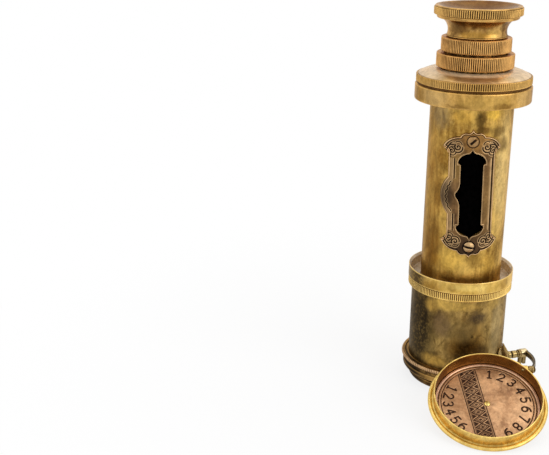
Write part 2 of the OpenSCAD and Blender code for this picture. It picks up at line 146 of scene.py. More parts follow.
def make_object(name: str, grids: Sequence[Grid], place: Matrix | None = None) -> bpy.types.Object:
    """Puts closed grids into one mesh object at the origin, with smooth faces that point outwards.

    Args:
        name: The object's name.
        grids: The surfaces, in millimetres.
        place: Where the piece goes, as a turn and a shift in millimetres.

    Returns:
        The linked object, with its wear and tint values in point attributes.
    """
    points: list[np.ndarray] = []
    wear: list[np.ndarray] = []
    tint: list[np.ndarray] = []
    quads: list[np.ndarray] = []
    triangles: list[np.ndarray] = []
    start = 0
    for grid in grids:
        four, three = grid.faces()
        if grid.volume(four, three) < 0:
            four, three = four[:, ::-1], three[:, ::-1]
        quads.append(four + start)
        triangles.append(three + start)
        points.append(grid.points.reshape(-1, 3))
        wear.append(np.broadcast_to(grid.wear, grid.points.shape[:2]).reshape(-1))
        tint.append(np.broadcast_to(grid.tint, grid.points.shape[:2]).reshape(-1))
        start += points[-1].shape[0]
    where = np.concatenate(points)
    if place is not None:
        turn = np.array(place)
        where = where @ turn[:3, :3].T + turn[:3, 3]
    four, three = np.concatenate(quads), np.concatenate(triangles)
    used = np.zeros(len(where), bool)
    used[four.ravel()] = True
    used[three.ravel()] = True
    renumber = np.cumsum(used) - 1
    loops = np.concatenate([renumber[four].ravel(), renumber[three].ravel()]).astype(np.int32)
    sizes = np.concatenate([np.full(len(four), 4), np.full(len(three), 3)])
    starts = np.concatenate([[0], np.cumsum(sizes)[:-1]]).astype(np.int32)
    mesh = bpy.data.meshes.new(name)
    mesh.vertices.add(int(used.sum()))
    mesh.vertices.foreach_set("co", (where[used] * MILLIMETRE).astype(np.float32).ravel())
    mesh.loops.add(len(loops))
    mesh.loops.foreach_set("vertex_index", loops)
    mesh.polygons.add(len(starts))
    mesh.polygons.foreach_set("loop_start", starts)
    mesh.polygons.foreach_set("use_smooth", np.ones(len(starts), bool))
    mesh.update(calc_edges=True)
    mesh.validate()
    for key, column in (("wear", wear), ("tint", tint)):
        values = mesh.attributes.new(key, "FLOAT", "POINT")
        values.data.foreach_set("value", np.concatenate(column)[used].astype(np.float32))
    obj = bpy.data.objects.new(name, mesh)
    bpy.context.scene.collection.objects.link(obj)
    return obj


def smooth_step(low: float, high: float, x: np.ndarray) -> np.ndarray:
    """0 below low, 1 above high and 3t^2 - 2t^3 between them."""
    t = np.clip((x - low) / (high - low), 0.0, 1.0)
    return t * t * (3.0 - 2.0 * t)


def hump(far: np.ndarray, half: float, power: int = 2) -> np.ndarray:
    """A bump that is 1 at distance 0 and fades as exp(-(far / half)^power)."""
    return np.exp(-((far / half) ** power))


def facing(columns: int, full: float, none: float) -> np.ndarray:
    """How far each column of a turned ring faces the photograph's side.

    Args:
        columns: The ring's columns.
        full: The angle from the front, in radians, up to which the value is 1.
        none: The angle past which it is 0.

    Returns:
        One value for each column.
    """
    turn = np.linspace(0, FULL_TURN, columns, endpoint=False)
    off = np.abs((turn - FRONT + np.pi) % FULL_TURN - np.pi)
    return 1 - smooth_step(full, none, off)


def arc(centre: tuple[float, float], radius: float, start: float, end: float, count: int = 12) -> np.ndarray:
    """Points along an arc, from one angle to another in degrees."""
    angle = np.radians(np.linspace(start, end, count))
    return np.stack([centre[0] + radius * np.cos(angle), centre[1] + radius * np.sin(angle)], -1)


def through(start: Spot, middle: Spot, end: Spot, count: int = 14) -> np.ndarray:
    """Points along the arc through three spots; its centre is as far from each of them.

    Args:
        start: The arc's first spot.
        middle: A spot that it passes.
        end: Its last spot.
        count: The number of points.

    Returns:
        The points as (count, 2).
    """
    a, m, b = (np.array(spot, float) for spot in (start, middle, end))
    centre = np.linalg.solve(2 * np.array([m - a, b - a]), np.array([m @ m - a @ a, b @ b - a @ a]))
    turn = np.unwrap([math.atan2(spot[1] - centre[1], spot[0] - centre[0]) for spot in (a, m, b)])
    first, last = np.degrees(turn[[0, 2]])
    return arc((centre[0], centre[1]), float(np.linalg.norm(a - centre)), first, last, count)


def chain(*parts: np.ndarray) -> np.ndarray:
    """Joins stretches of a line into one.

    Args:
        parts: The stretches in order.

    Returns:
        The line, without points that are met twice.
    """
    line = np.concatenate(parts)
    keep = np.concatenate([[True], np.linalg.norm(np.diff(line, axis=0), axis=1) > 1e-6])
    return line[keep]


def spread(line: np.ndarray, count: int) -> np.ndarray:
    """Lays points out evenly along an open line.

    Args:
        line: The line's points.
        count: The number of steps.

    Returns:
        The first point and the others up to the last but one, as (count, 2).
    """
    step = np.linalg.norm(np.diff(line, axis=0), axis=1)
    place = np.concatenate([[0], np.cumsum(step)])
    want = np.linspace(0, place[-1], count + 1)[:-1]
    return np.stack([np.interp(want, place, line[:, k]) for k in (0, 1)], -1)


def nearest(points: np.ndarray, line: np.ndarray, closed: bool = False) -> np.ndarray:
    """Distance of each point from its foot on the line's nearest stretch.

    Args:
        points: The points as (count, 2).
        line: The line's points.
        closed: Whether the line runs back to its start.

    Returns:
        One distance for each point.
    """
    a = line if closed else line[:-1]
    d = (np.roll(line, -1, 0) if closed else line[1:]) - a
    size = np.maximum((d * d).sum(-1), 1e-12)
    out = np.empty(len(points))
    for low in range(0, len(points), 20000):
        part = points[low:low + 20000, None]
        share = np.clip(((part - a) * d).sum(-1) / size, 0, 1)
        out[low:low + 20000] = np.linalg.norm(part - (a + share[..., None] * d), axis=-1).min(1)
    return out


@dataclass(frozen=True)
class Stroke:
    """One engraved line: its points and half of its width."""

    line: np.ndarray
    half: float

    def moved(self, turn: float, shift: Spot, scale: float, flip: Spot = (1.0, 1.0)) -> Stroke:
        """Mirrors, scales, turns and shifts the stroke, in that order.

        Args:
            turn: The turn in degrees.
            shift: The shift across and up.
            scale: The scale of the line and its width.
            flip: -1 for each direction that is mirrored.

        Returns:
            The moved stroke.
        """
        c, k = math.cos(math.radians(turn)), math.sin(math.radians(turn))
        line = self.line * np.array(flip) * scale
        line = line @ np.array([[c, k], [-k, c]]) + np.array(shift)
        return Stroke(line, self.half * scale)


def engraved(points: np.ndarray, strokes: Sequence[Stroke], soft: float = 0.08) -> np.ndarray:
    """How deep each point lies in the strokes: a smooth step of its distance from each stroke's line.

    Args:
        points: The points as (count, 2).
        strokes: The engraved lines.
        soft: Half of the width over which a stroke's edge slopes.

    Returns:
        One value for each point, from 0 outside to 1 along the middles.
    """
    deep = np.zeros(len(points))
    for stroke in strokes:
        margin = stroke.half + soft
        low, high = stroke.line.min(0) - margin, stroke.line.max(0) + margin
        close = np.flatnonzero(((points > low) & (points < high)).all(1))
        if close.size:
            far = nearest(points[close], stroke.line)
            inside = 1 - smooth_step(stroke.half - soft, stroke.half + soft, far)
            deep[close] = np.maximum(deep[close], inside)
    return deep


@dataclass(frozen=True)
class Corner:
    """One corner of a turned profile: its radius, its height and the radius of its rounding."""

    r: float
    z: float
    round: float = 0.12


def rounded(corners: Sequence[Corner], reach: float = 2.5) -> np.ndarray:
    """A closed profile with every corner rounded by an arc that touches both of its sides.

    Args:
        corners: The profile's corners in order.
        reach: The longest stretch left without a point.

    Returns:
        The profile's points as (count, 2).
    """
    spots = np.array([[c.r, c.z] for c in corners])
    out: list[np.ndarray] = []
    bent: list[np.ndarray] = []
    for k, corner in enumerate(corners):
        here, before, after = spots[k], spots[k - 1], spots[(k + 1) % len(corners)]
        a, b = before - here, after - here
        la, lb = np.linalg.norm(a), np.linalg.norm(b)
        a, b = a / la, b / lb
        half = math.acos(float(np.clip(a @ b, -1, 1))) / 2
        along = min(corner.round / math.tan(half), 0.48 * la, 0.48 * lb) if half < 1.56 else 0.0
        if along < 1e-4:
            out.append(here[None])
            bent.append(np.array([False]))
            continue
        radius = along * math.tan(half)
        centre = here + (a + b) / np.linalg.norm(a + b) * radius / math.sin(half)
        first, last = here + a * along - centre, here + b * along - centre
        share = np.linspace(0, 1, 3 + round(3 * min(radius / 0.6, 1.0)))[:, None]
        swing = first * (1 - share) + last * share
        out.append(centre + swing / np.linalg.norm(swing, axis=1, keepdims=True) * radius)
        bent.append(np.full(len(share), True))
    return densify(np.concatenate(out), np.concatenate(bent), reach)


def densify(
    line: np.ndarray, bent: np.ndarray, reach: float, guards: Sequence[float] = (0.1, 0.45),
) -> np.ndarray:
    """Adds points on a closed line's long stretches: near both ends, and evenly between them.

    Args:
        line: The profile's points.
        bent: Whether each point belongs to a rounded corner; stretches between other points stay as they are.
        reach: The longest stretch left without a point.
        guards: The distances from a stretch's ends at which it gets its first points.

    Returns:
        The profile with the new points in it.
    """
    out = []
    for here, after, corner in zip(line, np.roll(line, -1, 0), bent | np.roll(bent, -1)):
        length = float(np.linalg.norm(after - here))
        out.append(here[None])
        close = [guard for guard in guards if corner and length > 2.6 * guard]
        if close:
            count = max(int(math.ceil((length - 2 * close[-1]) / reach)), 1)
            between = np.linspace(close[-1], length - close[-1], count + 1)[1:-1]
            share = np.concatenate([close, between, length - np.array(close[::-1])]) / length
            out.append(here + (after - here) * share[:, None])
    return np.concatenate(out)


def corner_wear(line: np.ndarray, fade: float = 0.25) -> np.ndarray:
    """Wear along a closed profile: the sum of its corners' turns, each fading with distance along the line.

    Args:
        line: The profile's points.
        fade: The distance over which a corner's wear fades.

    Returns:
        One value for each point, from -1 in inner corners to 1 on outer ones.
    """
    ahead = np.roll(line, -1, 0) - line
    behind = line - np.roll(line, 1, 0)
    cross = behind[:, 0] * ahead[:, 1] - behind[:, 1] * ahead[:, 0]
    turn = np.arctan2(cross, (behind * ahead).sum(1))
    turn *= np.sign(turn.sum())
    length = np.linalg.norm(behind, axis=1)
    place = np.cumsum(length)
    gap = np.abs(place[:, None] - place[None])
    gap = np.minimum(gap, place[-1] - gap)
    return np.clip((turn * hump(gap, fade)).sum(1) * 0.9, -1, 1)


def turned(line: np.ndarray, around: int, relief: Relief | None = None, shift: float = 0.0) -> Grid:
    """A ring turned from a closed profile: each profile point goes round the Z axis.

    Args:
        line: The profile's points as radius and height.
        around: The number of columns.
        relief: Gives for radius, height and angle the change of radius and the wear to add.
        shift: A height added to every point.

    Returns:
        The ring's grid.
    """
    angle = np.linspace(0, FULL_TURN, around, endpoint=False)
    radius, turn = np.meshgrid(line[:, 0], angle, indexing="ij")
    height = np.broadcast_to(line[:, 1][:, None], radius.shape)
    wear = np.broadcast_to(corner_wear(line)[:, None], radius.shape).copy()
    if relief is not None:
        change, more = relief(radius, height, turn)
        radius = radius + change
        wear = np.clip(wear + more, -1, 1)
    points = np.stack([radius * np.cos(turn), radius * np.sin(turn), height + shift], -1)
    return Grid(points, wear, wrap_rows=True, wrap_columns=True)


def domed(line: np.ndarray, around: int, wear: np.ndarray) -> Grid:
    """A solid turned from an open profile that starts and ends on the axis.

    Args:
        line: The profile's points as radius and height.
        around: The number of columns.
        wear: The wear at each profile point.

    Returns:
        The solid's grid.
    """
    angle = np.linspace(0, FULL_TURN, around, endpoint=False)
    radius, turn = np.meshgrid(line[:, 0], angle, indexing="ij")
    height = np.broadcast_to(line[:, 1][:, None], radius.shape)
    points = np.stack([radius * np.cos(turn), radius * np.sin(turn), height], -1)
    values = np.broadcast_to(wear[:, None], radius.shape)
    return Grid(points, values, wrap_columns=True, pole_first=True, pole_last=True)


def aimed(grid: Grid, at: np.ndarray, along: np.ndarray) -> Grid:
    """Turns a grid so that its Z axis lies along a direction, and moves it to a place.

    Args:
        grid: The grid, which is changed.
        at: Where its origin goes.
        along: Its axis's direction.

    Returns:
        The same grid.
    """
    turn = np.array(Vector((0, 0, 1)).rotation_difference(Vector(along)).to_matrix())
    grid.points = grid.points @ turn.T + at
    return grid


def swept(
    path: np.ndarray, side: np.ndarray, up: np.ndarray, wide: np.ndarray, thick: np.ndarray, grime: float,
    around: int = 32, power: float = 5.0,
) -> Grid:
    """A bar along a path; its section is a squared-off circle, whose sine and cosine are raised to 2 / power.

    Args:
        path: The middle's points.
        side: The section's first direction, for the path or for each point.
        up: The section's second direction.
        wide: Half of the width at each point.
        thick: Half of the thickness at each point.
        grime: The wear of the faces between the bright edges.
        around: The points round the section.
        power: How square the section is.

    Returns:
        The bar's grid, closed at both ends.
    """
    turn = np.linspace(0, FULL_TURN, around, endpoint=False)
    c, k = (np.sign(v) * np.abs(v) ** (2 / power) for v in (np.cos(turn), np.sin(turn)))
    order = np.concatenate([[0, 0], np.arange(len(path)), [-1, -1]])
    size = np.concatenate([[0.0, 0.8], np.ones(len(path)), [0.8, 0.0]])[:, None]
    side, up = np.broadcast_to(side, path.shape)[order], np.broadcast_to(up, path.shape)[order]
    across = (wide[order, None] * size * c)[..., None] * side[:, None]
    points = path[order][:, None] + across + (thick[order, None] * size * k)[..., None] * up[:, None]
    edge = smooth_step(0.66, 0.755, np.abs(c * k))
    wear = np.broadcast_to(grime * (1 - edge) + 0.8 * edge, points.shape[:2])
    return Grid(points, wear, wrap_columns=True, pole_first=True, pole_last=True)


@dataclass(frozen=True)
class Milling:
    """A band of straight milled teeth: rounded ridges along the axis with dirty gaps between them."""

    low: float
    high: float
    teeth: int
    depth: float
    outer: float
    uneven: float = 0.12
    samples: int = 6

    def columns(self) -> int:
        """The number of columns that gives every tooth the same number of points."""
        return self.teeth * self.samples

    def __call__(self, radius: np.ndarray, height: np.ndarray, turn: np.ndarray) -> Pair:
        """Lowers the gaps: a cosine round the band, squared off, with hands' wear as a slow wave.

        Args:
            radius: The radius of each point.
            height: Its height.
            turn: Its angle.

        Returns:
            The change of radius and the wear to add, at each point.
        """
        ridge = smooth_step(0.16, 0.8, 0.5 + 0.5 * np.cos(self.teeth * turn))
        hand = 1 - self.uneven * (0.5 + 0.5 * np.sin(3 * turn + 1.3) * np.sin(7 * turn + 0.4))
        inside = (height >= self.low - 0.01) & (height <= self.high + 0.01)
        inside = inside * smooth_step(self.outer - 0.75, self.outer - 0.3, radius) * hand
        return -self.depth * (1 - ridge) * inside, (0.95 * ridge - 2.4 * (1 - ridge)) * inside


# Finishes


def linear(colour: Rgb) -> tuple[float, float, float, float]:
    """A colour as linear values with full opacity, by the display curve's two stretches.

    Args:
        colour: The colour as 0 to 255 in display values.

    Returns:
        The red, green, blue and opacity values.
    """
    values = [c / 255 for c in colour]
    red, green, blue = [v / 12.92 if v <= 0.04045 else ((v + 0.055) / 1.055) ** 2.4 for v in values]
    return (red, green, blue, 1.0)


class Blend(Enum):
    """How two colours are put together."""

    MIX = "MIX"
    MULTIPLY = "MULTIPLY"


class Shader:
    """One material and short calls that add linked nodes to it."""

    def __init__(self, name: str) -> None:
        """Makes the material with its Principled shader and Object coordinates.

        Args:
            name: The material's name.
        """
        self.material = bpy.data.materials.new(name)
        self.material.use_nodes = True
        self.tree = self.material.node_tree
        self.surface = self.tree.nodes["Principled BSDF"]
        self.place = self.tree.nodes.new("ShaderNodeTexCoord").outputs["Object"]

    def link(self, output: Socket, target: Socket) -> None:
        """Links two sockets."""
        self.tree.links.new(output, target)

    def feed(self, target: Socket, value: object) -> None:
        """Gives a socket its value.

        Args:
            target: The socket.
            value: A number, a colour or a vector, or another socket, which is linked.
        """
        if isinstance(value, bpy.types.NodeSocket):
            self.link(value, target)
        else:
            target.default_value = value

    def set(self, key: str, value: object) -> None:
        """Gives one of the Principled shader's sockets its value."""
        self.feed(self.surface.inputs[key], value)

    def stretched(self, scale: Place, shift: Place = (0, 0, 0)) -> Socket:
        """Object coordinates, scaled on each axis and shifted.

        Args:
            scale: The scale on each axis.
            shift: The shift on each axis.

        Returns:
            The coordinates' socket.
        """
        node = self.tree.nodes.new("ShaderNodeMapping")
        self.link(self.place, node.inputs["Vector"])
        node.inputs["Scale"].default_value = scale
        node.inputs["Location"].default_value = shift
        return node.outputs["Vector"]

    def noise(
        self, scale: float, detail: float = 4, rough: float = 0.55, warp: float = 0.0,
        vector: Socket | None = None,
    ) -> Socket:
        """Cloudy noise.

        Args:
            scale: The number of clouds in a metre.
            detail: How many finer layers are added.
            rough: How strong the finer layers are.
            warp: How far the noise bends itself.
            vector: The coordinates, where they aren't the object's own.

        Returns:
            The socket of a value from 0 to 1.
        """
        node = self.tree.nodes.new("ShaderNodeTexNoise")
        self.link(vector or self.place, node.inputs["Vector"])
        for key, value in (("Scale", scale), ("Detail", detail), ("Roughness", rough), ("Distortion", warp)):
            node.inputs[key].default_value = value
        return node.outputs["Fac"]

    def math(self, kind: str, a: object, b: object = 0.0) -> Socket:
        """One arithmetic step.

        Args:
            kind: The node's operation.
            a: The first value.
            b: The second value.

        Returns:
            The result's socket.
        """
        node = self.tree.nodes.new("ShaderNodeMath")
        node.operation = kind
        for socket, value in zip(node.inputs, (a, b)):
            self.feed(socket, value)
        return node.outputs[0]

    def vector(self, kind: str, *values: object, result: str = "Vector") -> Socket:
        """One step of vector arithmetic.

        Args:
            kind: The node's operation.
            values: The vectors.
            result: The output's name.

        Returns:
            The result's socket.
        """
        node = self.tree.nodes.new("ShaderNodeVectorMath")
        node.operation = kind
        for socket, value in zip(node.inputs, values):
            self.feed(socket, value)
        return node.outputs[result]

    def between(self, value: object, low: float, high: float, start: float = 0.0, end: float = 1.0) -> Socket:
        """A value mapped by a smooth step.

        Args:
            value: The value.
            low: Where the step begins.
            high: Where it ends.
            start: The result at low.
            end: The result at high.

        Returns:
            The result's socket, held at both ends.
        """
        node = self.tree.nodes.new("ShaderNodeMapRange")
        node.interpolation_type = "SMOOTHSTEP"
        for socket, number in zip(node.inputs, (value, low, high, start, end)):
            self.feed(socket, number)
        return node.outputs["Result"]

    def mix(self, share: object, a: object, b: object, kind: Blend = Blend.MIX) -> Socket:
        """Two colours put together.

        Args:
            share: How much of the second colour there is.
            a: The first colour.
            b: The second colour.
            kind: How they are put together.

        Returns:
            The result's socket.
        """
        node = self.tree.nodes.new("ShaderNodeMix")
        node.data_type = "RGBA"
        node.blend_type = kind.value
        for socket, value in zip((node.inputs["Factor"], node.inputs[6], node.inputs[7]), (share, a, b)):
            self.feed(socket, value)
        return node.outputs[2]

    def attribute(self, name: str) -> Socket:
        """A mesh attribute's value.

        Args:
            name: The attribute's name.

        Returns:
            The value's socket, which is 0 where a piece has no such attribute.
        """
        node = self.tree.nodes.new("ShaderNodeAttribute")
        node.attribute_name = name
        return node.outputs["Fac"]

    def bump(self, height: Socket, depth: float, normal: Socket | None = None) -> Socket:
        """A surface normal bent by a height.

        Args:
            height: The height from 0 to 1.
            depth: The full depth in millimetres.
            normal: The normal before, where it is already bent.

        Returns:
            The normal's socket.
        """
        node = self.tree.nodes.new("ShaderNodeBump")
        node.inputs["Strength"].default_value = 1.0
        node.inputs["Distance"].default_value = depth * MILLIMETRE
        self.link(height, node.inputs["Height"])
        if normal is not None:
            self.link(normal, node.inputs["Normal"])
        return node.outputs["Normal"]


@dataclass(frozen=True)
class StainOrLight:
    """A dark or bright patch at one place on the metal, with a ragged edge: a real tarnish spot, or painted
    shade, a painted reflection or a painted highlight.
    """

    spot: Place
    radius: float
    colour: Rgb
    strength: float = 0.8
    stretch: Place = (1.0, 1.0, 1.0)


@dataclass(frozen=True)
class AgedBrass:
    """Brass polished long ago, with clouds of tarnish, rubbed edges, dirty recesses and fine turning lines.

    The colours are those of polished spots, of the plain metal, of tarnished clouds and of dirt; its patches
    add tarnish spots, painted shade, painted reflections and painted highlights.
    """

    name: str
    light: Rgb
    body: Rgb
    dark: Rgb
    patina: Rgb
    tarnish: float = 0.4
    rough: float = 0.3
    cloud: float = 55.0
    seed: float = 0.0
    streaks: float = 0.0
    speckle: float = 0.25
    stains_and_light: tuple[StainOrLight, ...] = ()
    tint: Rgb | None = None
    grain: float = 0.22
    metal: float = 0.85
    tint_metal: float = 0.85
    edge_white: float = 0.5
    ragged: float = 3.6

    def shift(self) -> Place:
        """Where this finish's noise starts, so that no two finishes share their clouds."""
        return (self.seed, self.seed * 1.7, self.seed * 0.6)

    def clouds(self, s: Shader, fine: Socket) -> Socket:
        """The metal's tone: broad clouds, fine mottle and, where the finish has them, streaks along the axis.

        Args:
            s: The material.
            fine: The fine mottle.

        Returns:
            The socket of a value round 0.5.
        """
        cloud = s.noise(self.cloud, 5, 0.6, 0.8, s.stretched((1, 1, 0.7), self.shift()))
        tone = s.math("ADD", s.math("MULTIPLY", cloud, 0.75), s.math("MULTIPLY", fine, 0.25))
        if self.streaks > 0:
            streak = s.noise(1.0, 5, 0.65, 0.0, s.stretched((300, 300, 16), self.shift()))
            tone = s.math("ADD", tone, s.math("MULTIPLY", s.math("SUBTRACT", streak, 0.5), self.streaks))
        return tone

    def patched(self, s: Shader, colour: Socket, fine: Socket) -> Socket:
        """Lays the patches over a colour, both tarnish spots and painted shade, reflections and highlights:
        each fades with distance from its spot, bent by noise at its edge.

        Args:
            s: The material.
            colour: The colour under them.
            fine: The fine mottle, which thins them.

        Returns:
            The stained colour's socket.
        """
        if not self.stains_and_light:
            return colour
        bend = s.tree.nodes.new("ShaderNodeTexNoise")
        s.link(s.place, bend.inputs["Vector"])
        for key, value in (("Scale", 460), ("Detail", 7), ("Roughness", 0.68)):
            bend.inputs[key].default_value = value
        bent = s.vector("MULTIPLY_ADD", bend.outputs["Color"], (self.ragged * MILLIMETRE,) * 3, s.place)
        bent = s.vector("SUBTRACT", bent, (self.ragged / 2 * MILLIMETRE,) * 3)
        thin = s.between(fine, 0.3, 0.55, 0.65, 1.0)
        for mark in self.stains_and_light:
            node = s.tree.nodes.new("ShaderNodeMapping")
            node.vector_type = "TEXTURE"
            s.link(bent, node.inputs["Vector"])
            node.inputs["Location"].default_value = tuple(c * MILLIMETRE for c in mark.spot)
            node.inputs["Scale"].default_value = mark.stretch
            away = s.vector("DISTANCE", node.outputs["Vector"], (0, 0, 0), result="Value")
            near = s.between(away, mark.radius * MILLIMETRE * 1.3, mark.radius * MILLIMETRE * 0.4)
            share = s.math("MULTIPLY", s.math("MULTIPLY", near, thin), mark.strength)
            colour = s.mix(share, colour, linear(mark.colour))
        return colour

    def material(self) -> bpy.types.Material:
        """Builds the finish.

        Returns:
            The material.
        """
        s = Shader(self.name)
        across, up, deep = self.shift()
        fine = s.noise(900, 4, 0.65, 0.0, s.stretched((1, 1, 1), self.shift()))
        tone = self.clouds(s, fine)
        colour = s.mix(s.between(tone, 0.36, 0.62), linear(self.body), linear(self.light))
        patch = s.noise(self.cloud * 1.9, 6, 0.62, 1.2, s.stretched((1, 1, 0.8), (up, across, 0.3)))
        stained = s.between(patch, 0.66 - 0.25 * self.tarnish, 0.78 - 0.2 * self.tarnish)
        colour = s.mix(s.math("MULTIPLY", stained, 0.35 + 0.5 * self.tarnish), colour, linear(self.dark))
        colour = self.patched(s, colour, fine)
        pits = s.between(s.noise(3200, 2, 0.5), 0.62, 0.72)
        colour = s.mix(s.math("MULTIPLY", pits, self.speckle), colour, linear(self.dark))
        wear = s.attribute("wear")
        dirt = s.between(wear, -0.08, -0.8)
        rub = s.between(wear, 0.1, 0.9)
        colour = s.mix(s.math("MULTIPLY", rub, 0.8), colour, linear(self.light))
        if self.tint is not None:
            share = s.math("MULTIPLY", s.attribute("tint"), s.between(tone, 0.2, 0.6, 0.95, 0.8))
            colour = s.mix(share, colour, linear(self.tint))
        grain = s.noise(330, 7, 0.72, 0.5, s.stretched((1, 1, 0.6), (deep, up, 0.1)))
        grain = s.between(grain, 0.34, 0.66, 1 - self.grain, 1 + 0.6 * self.grain)
        colour = s.mix(1.0, colour, grain, Blend.MULTIPLY)
        s.set("Base Color", s.mix(s.math("MULTIPLY", dirt, 0.94), colour, linear(self.patina)))
        if self.tint_metal == self.metal:
            s.set("Metallic", self.metal)
        else:
            s.set("Metallic", s.between(s.attribute("tint"), 0.0, 1.0, self.metal, self.tint_metal))
        white = self.edge_white
        s.set("Specular Tint", tuple(white + (1 - white) * c for c in linear(self.light)))
        dull = s.math("MAXIMUM", s.math("MULTIPLY", stained, self.tarnish), dirt)
        smooth = s.between(tone, 0.3, 0.7, self.rough + 0.07, self.rough - 0.05)
        s.set("Roughness", s.math("ADD", smooth, s.math("MULTIPLY", dull, 0.16)))
        lines = s.noise(1.0, 2, 0.5, 0.0, s.stretched((30, 30, 5200)))
        s.set("Normal", s.bump(fine, 0.02, s.bump(lines, 0.006)))
        return s.material


@dataclass(frozen=True)
class BlackLining:
    """Matt black inside the tubes, with a faint mottle of lamp soot."""

    name: str

    def material(self) -> bpy.types.Material:
        """Builds the finish.

        Returns:
            The material.
        """
        s = Shader(self.name)
        mottle = s.noise(700, 3)
        s.set("Base Color", s.mix(s.between(mottle, 0.3, 0.7), linear((1, 1, 1)), linear((4, 3, 3))))
        s.set("Roughness", s.between(mottle, 0.3, 0.7, 0.95, 0.8))
        s.set("Specular IOR Level", 0.0)
        s.set("Normal", s.bump(mottle, 0.02))
        return s.material


@dataclass(frozen=True)
class CoatedGlass:
    """Lens glass with a faint film of dust in patches."""

    name: str

    def material(self) -> bpy.types.Material:
        """Builds the finish.

        Returns:
            The material.
        """
        s = Shader(self.name)
        dust = s.noise(500, 5, 0.6)
        clear, dusty = linear((246, 250, 248)), linear((226, 232, 226))
        s.set("Base Color", s.mix(s.between(dust, 0.5, 0.8), clear, dusty))
        s.set("Transmission Weight", 1.0)
        s.set("IOR", 1.52)
        s.set("Roughness", s.between(dust, 0.5, 0.8, 0.02, 0.12))
        return s.material


# The patches that the photograph shows, by sub-assembly, in millimetres

SHADE_TUBE_STAINS_AND_LIGHT = (
    # Dark over the left flank: painted shade and a painted reflection of a dark thing beside the tube.
    StainOrLight((-17.5, -8.5, 26.0), 16.0, (14, 7, 3), 0.96, (0.62, 1.0, 1.5)),
    # These two dark patches low on the front: a painted reflection of the open cap.
    StainOrLight((2.8, -19.2, 18.5), 7.5, (48, 28, 4), 0.9, (1.0, 1.0, 0.8)),
    StainOrLight((9.1, -17.1, 17.5), 4.5, (60, 38, 10), 0.8),
    StainOrLight((6.4, -18.3, 33.2), 4.0, (66, 52, 40), 0.85, (1.2, 1.0, 0.75)),
    StainOrLight((4.7, -18.8, 25.6), 0.8, (14, 8, 2), 1.0),
    StainOrLight((-2.0, -19.3, 27.0), 7.0, (120, 100, 58), 0.6, (1.5, 1.0, 0.7)),
    StainOrLight((-7.6, -17.9, 29.7), 5.0, (112, 88, 60), 0.7, (0.8, 1.0, 1.2)),
    StainOrLight((-5.5, -18.6, 38.5), 5.5, (200, 162, 80), 0.9, (2.2, 1.0, 0.45)),
    StainOrLight((-12.0, -15.1, 37.0), 3.2, (178, 140, 66), 0.85, (1.0, 1.0, 0.9)),
    StainOrLight((-10.5, -16.3, 13.1), 4.8, (176, 138, 64), 0.9, (1.5, 1.0, 0.55)),
    # A pale upright streak on the right: a painted reflection.
    StainOrLight((14.6, -12.8, 27.0), 5.0, (182, 158, 108), 0.75, (0.7, 1.0, 3.0)),
    StainOrLight((12.5, -14.8, 38.5), 3.6, (184, 150, 78), 0.7, (1.0, 1.0, 0.8)),
)
BARREL_STAINS_AND_LIGHT = (
    # Brown down the left flank: painted shade and a painted reflection.
    StainOrLight((-15.0, -6.0, 85.0), 9.0, (140, 98, 40), 0.6, (0.8, 1.0, 4.5)),
    StainOrLight((-12.5, -10.0, 62.0), 7.5, (104, 66, 14), 0.7, (0.8, 1.0, 1.6)),
    StainOrLight((-11.5, -11.3, 84.0), 3.4, (110, 72, 20), 0.7, (0.9, 1.0, 2.4)),
    StainOrLight((-9.5, -13.0, 54.8), 4.5, (150, 106, 34), 0.6, (1.3, 1.0, 0.8)),
    # A pale upright streak on the right: a painted highlight.
    StainOrLight((12.5, -10.0, 92.0), 6.5, (228, 196, 128), 0.75, (0.8, 1.0, 4.0)),
    StainOrLight((-12.5, -10.0, 113.5), 6.0, (140, 116, 78), 0.8, (0.8, 1.0, 1.0)),
    StainOrLight((2.2, -16.0, 113.2), 3.0, (70, 48, 16), 0.9, (0.75, 1.0, 1.3)),
    StainOrLight((3.4, -15.8, 109.5), 2.2, (84, 56, 18), 0.85, (1.3, 1.0, 0.8)),
    StainOrLight((9.0, -13.4, 108.6), 3.2, (108, 82, 38), 0.8, (1.6, 1.0, 0.6)),
    StainOrLight((11.5, -11.3, 103.0), 3.4, (116, 88, 42), 0.7),
    StainOrLight((7.0, -14.5, 115.5), 3.2, (232, 186, 76), 0.9, (1.0, 1.0, 0.8)),
    StainOrLight((-4.4, -15.5, 114.0), 3.4, (206, 160, 68), 0.7, (1.2, 1.0, 1.0)),
    StainOrLight((3.8, -15.7, 57.6), 3.6, (124, 92, 34), 0.7, (1.1, 1.0, 1.1)),
    StainOrLight((0.7, -16.1, 61.2), 1.6, (104, 72, 24), 0.7, (1.4, 1.0, 0.6)),
    StainOrLight((-5.5, -15.1, 57.0), 5.0, (216, 174, 80), 0.8, (1.1, 1.0, 1.1)),
    StainOrLight((9.0, -13.4, 55.0), 4.0, (206, 162, 72), 0.7),
    StainOrLight((10.5, -12.2, 70.0), 4.0, (214, 176, 96), 0.6, (1.0, 1.0, 2.0)),
    # A dark band just above the cup: a painted shadow line where the barrel enters the cup.
    StainOrLight((1.0, -16.0, 48.6), 3.0, (96, 62, 18), 0.6, (4.0, 3.0, 0.35)),
)
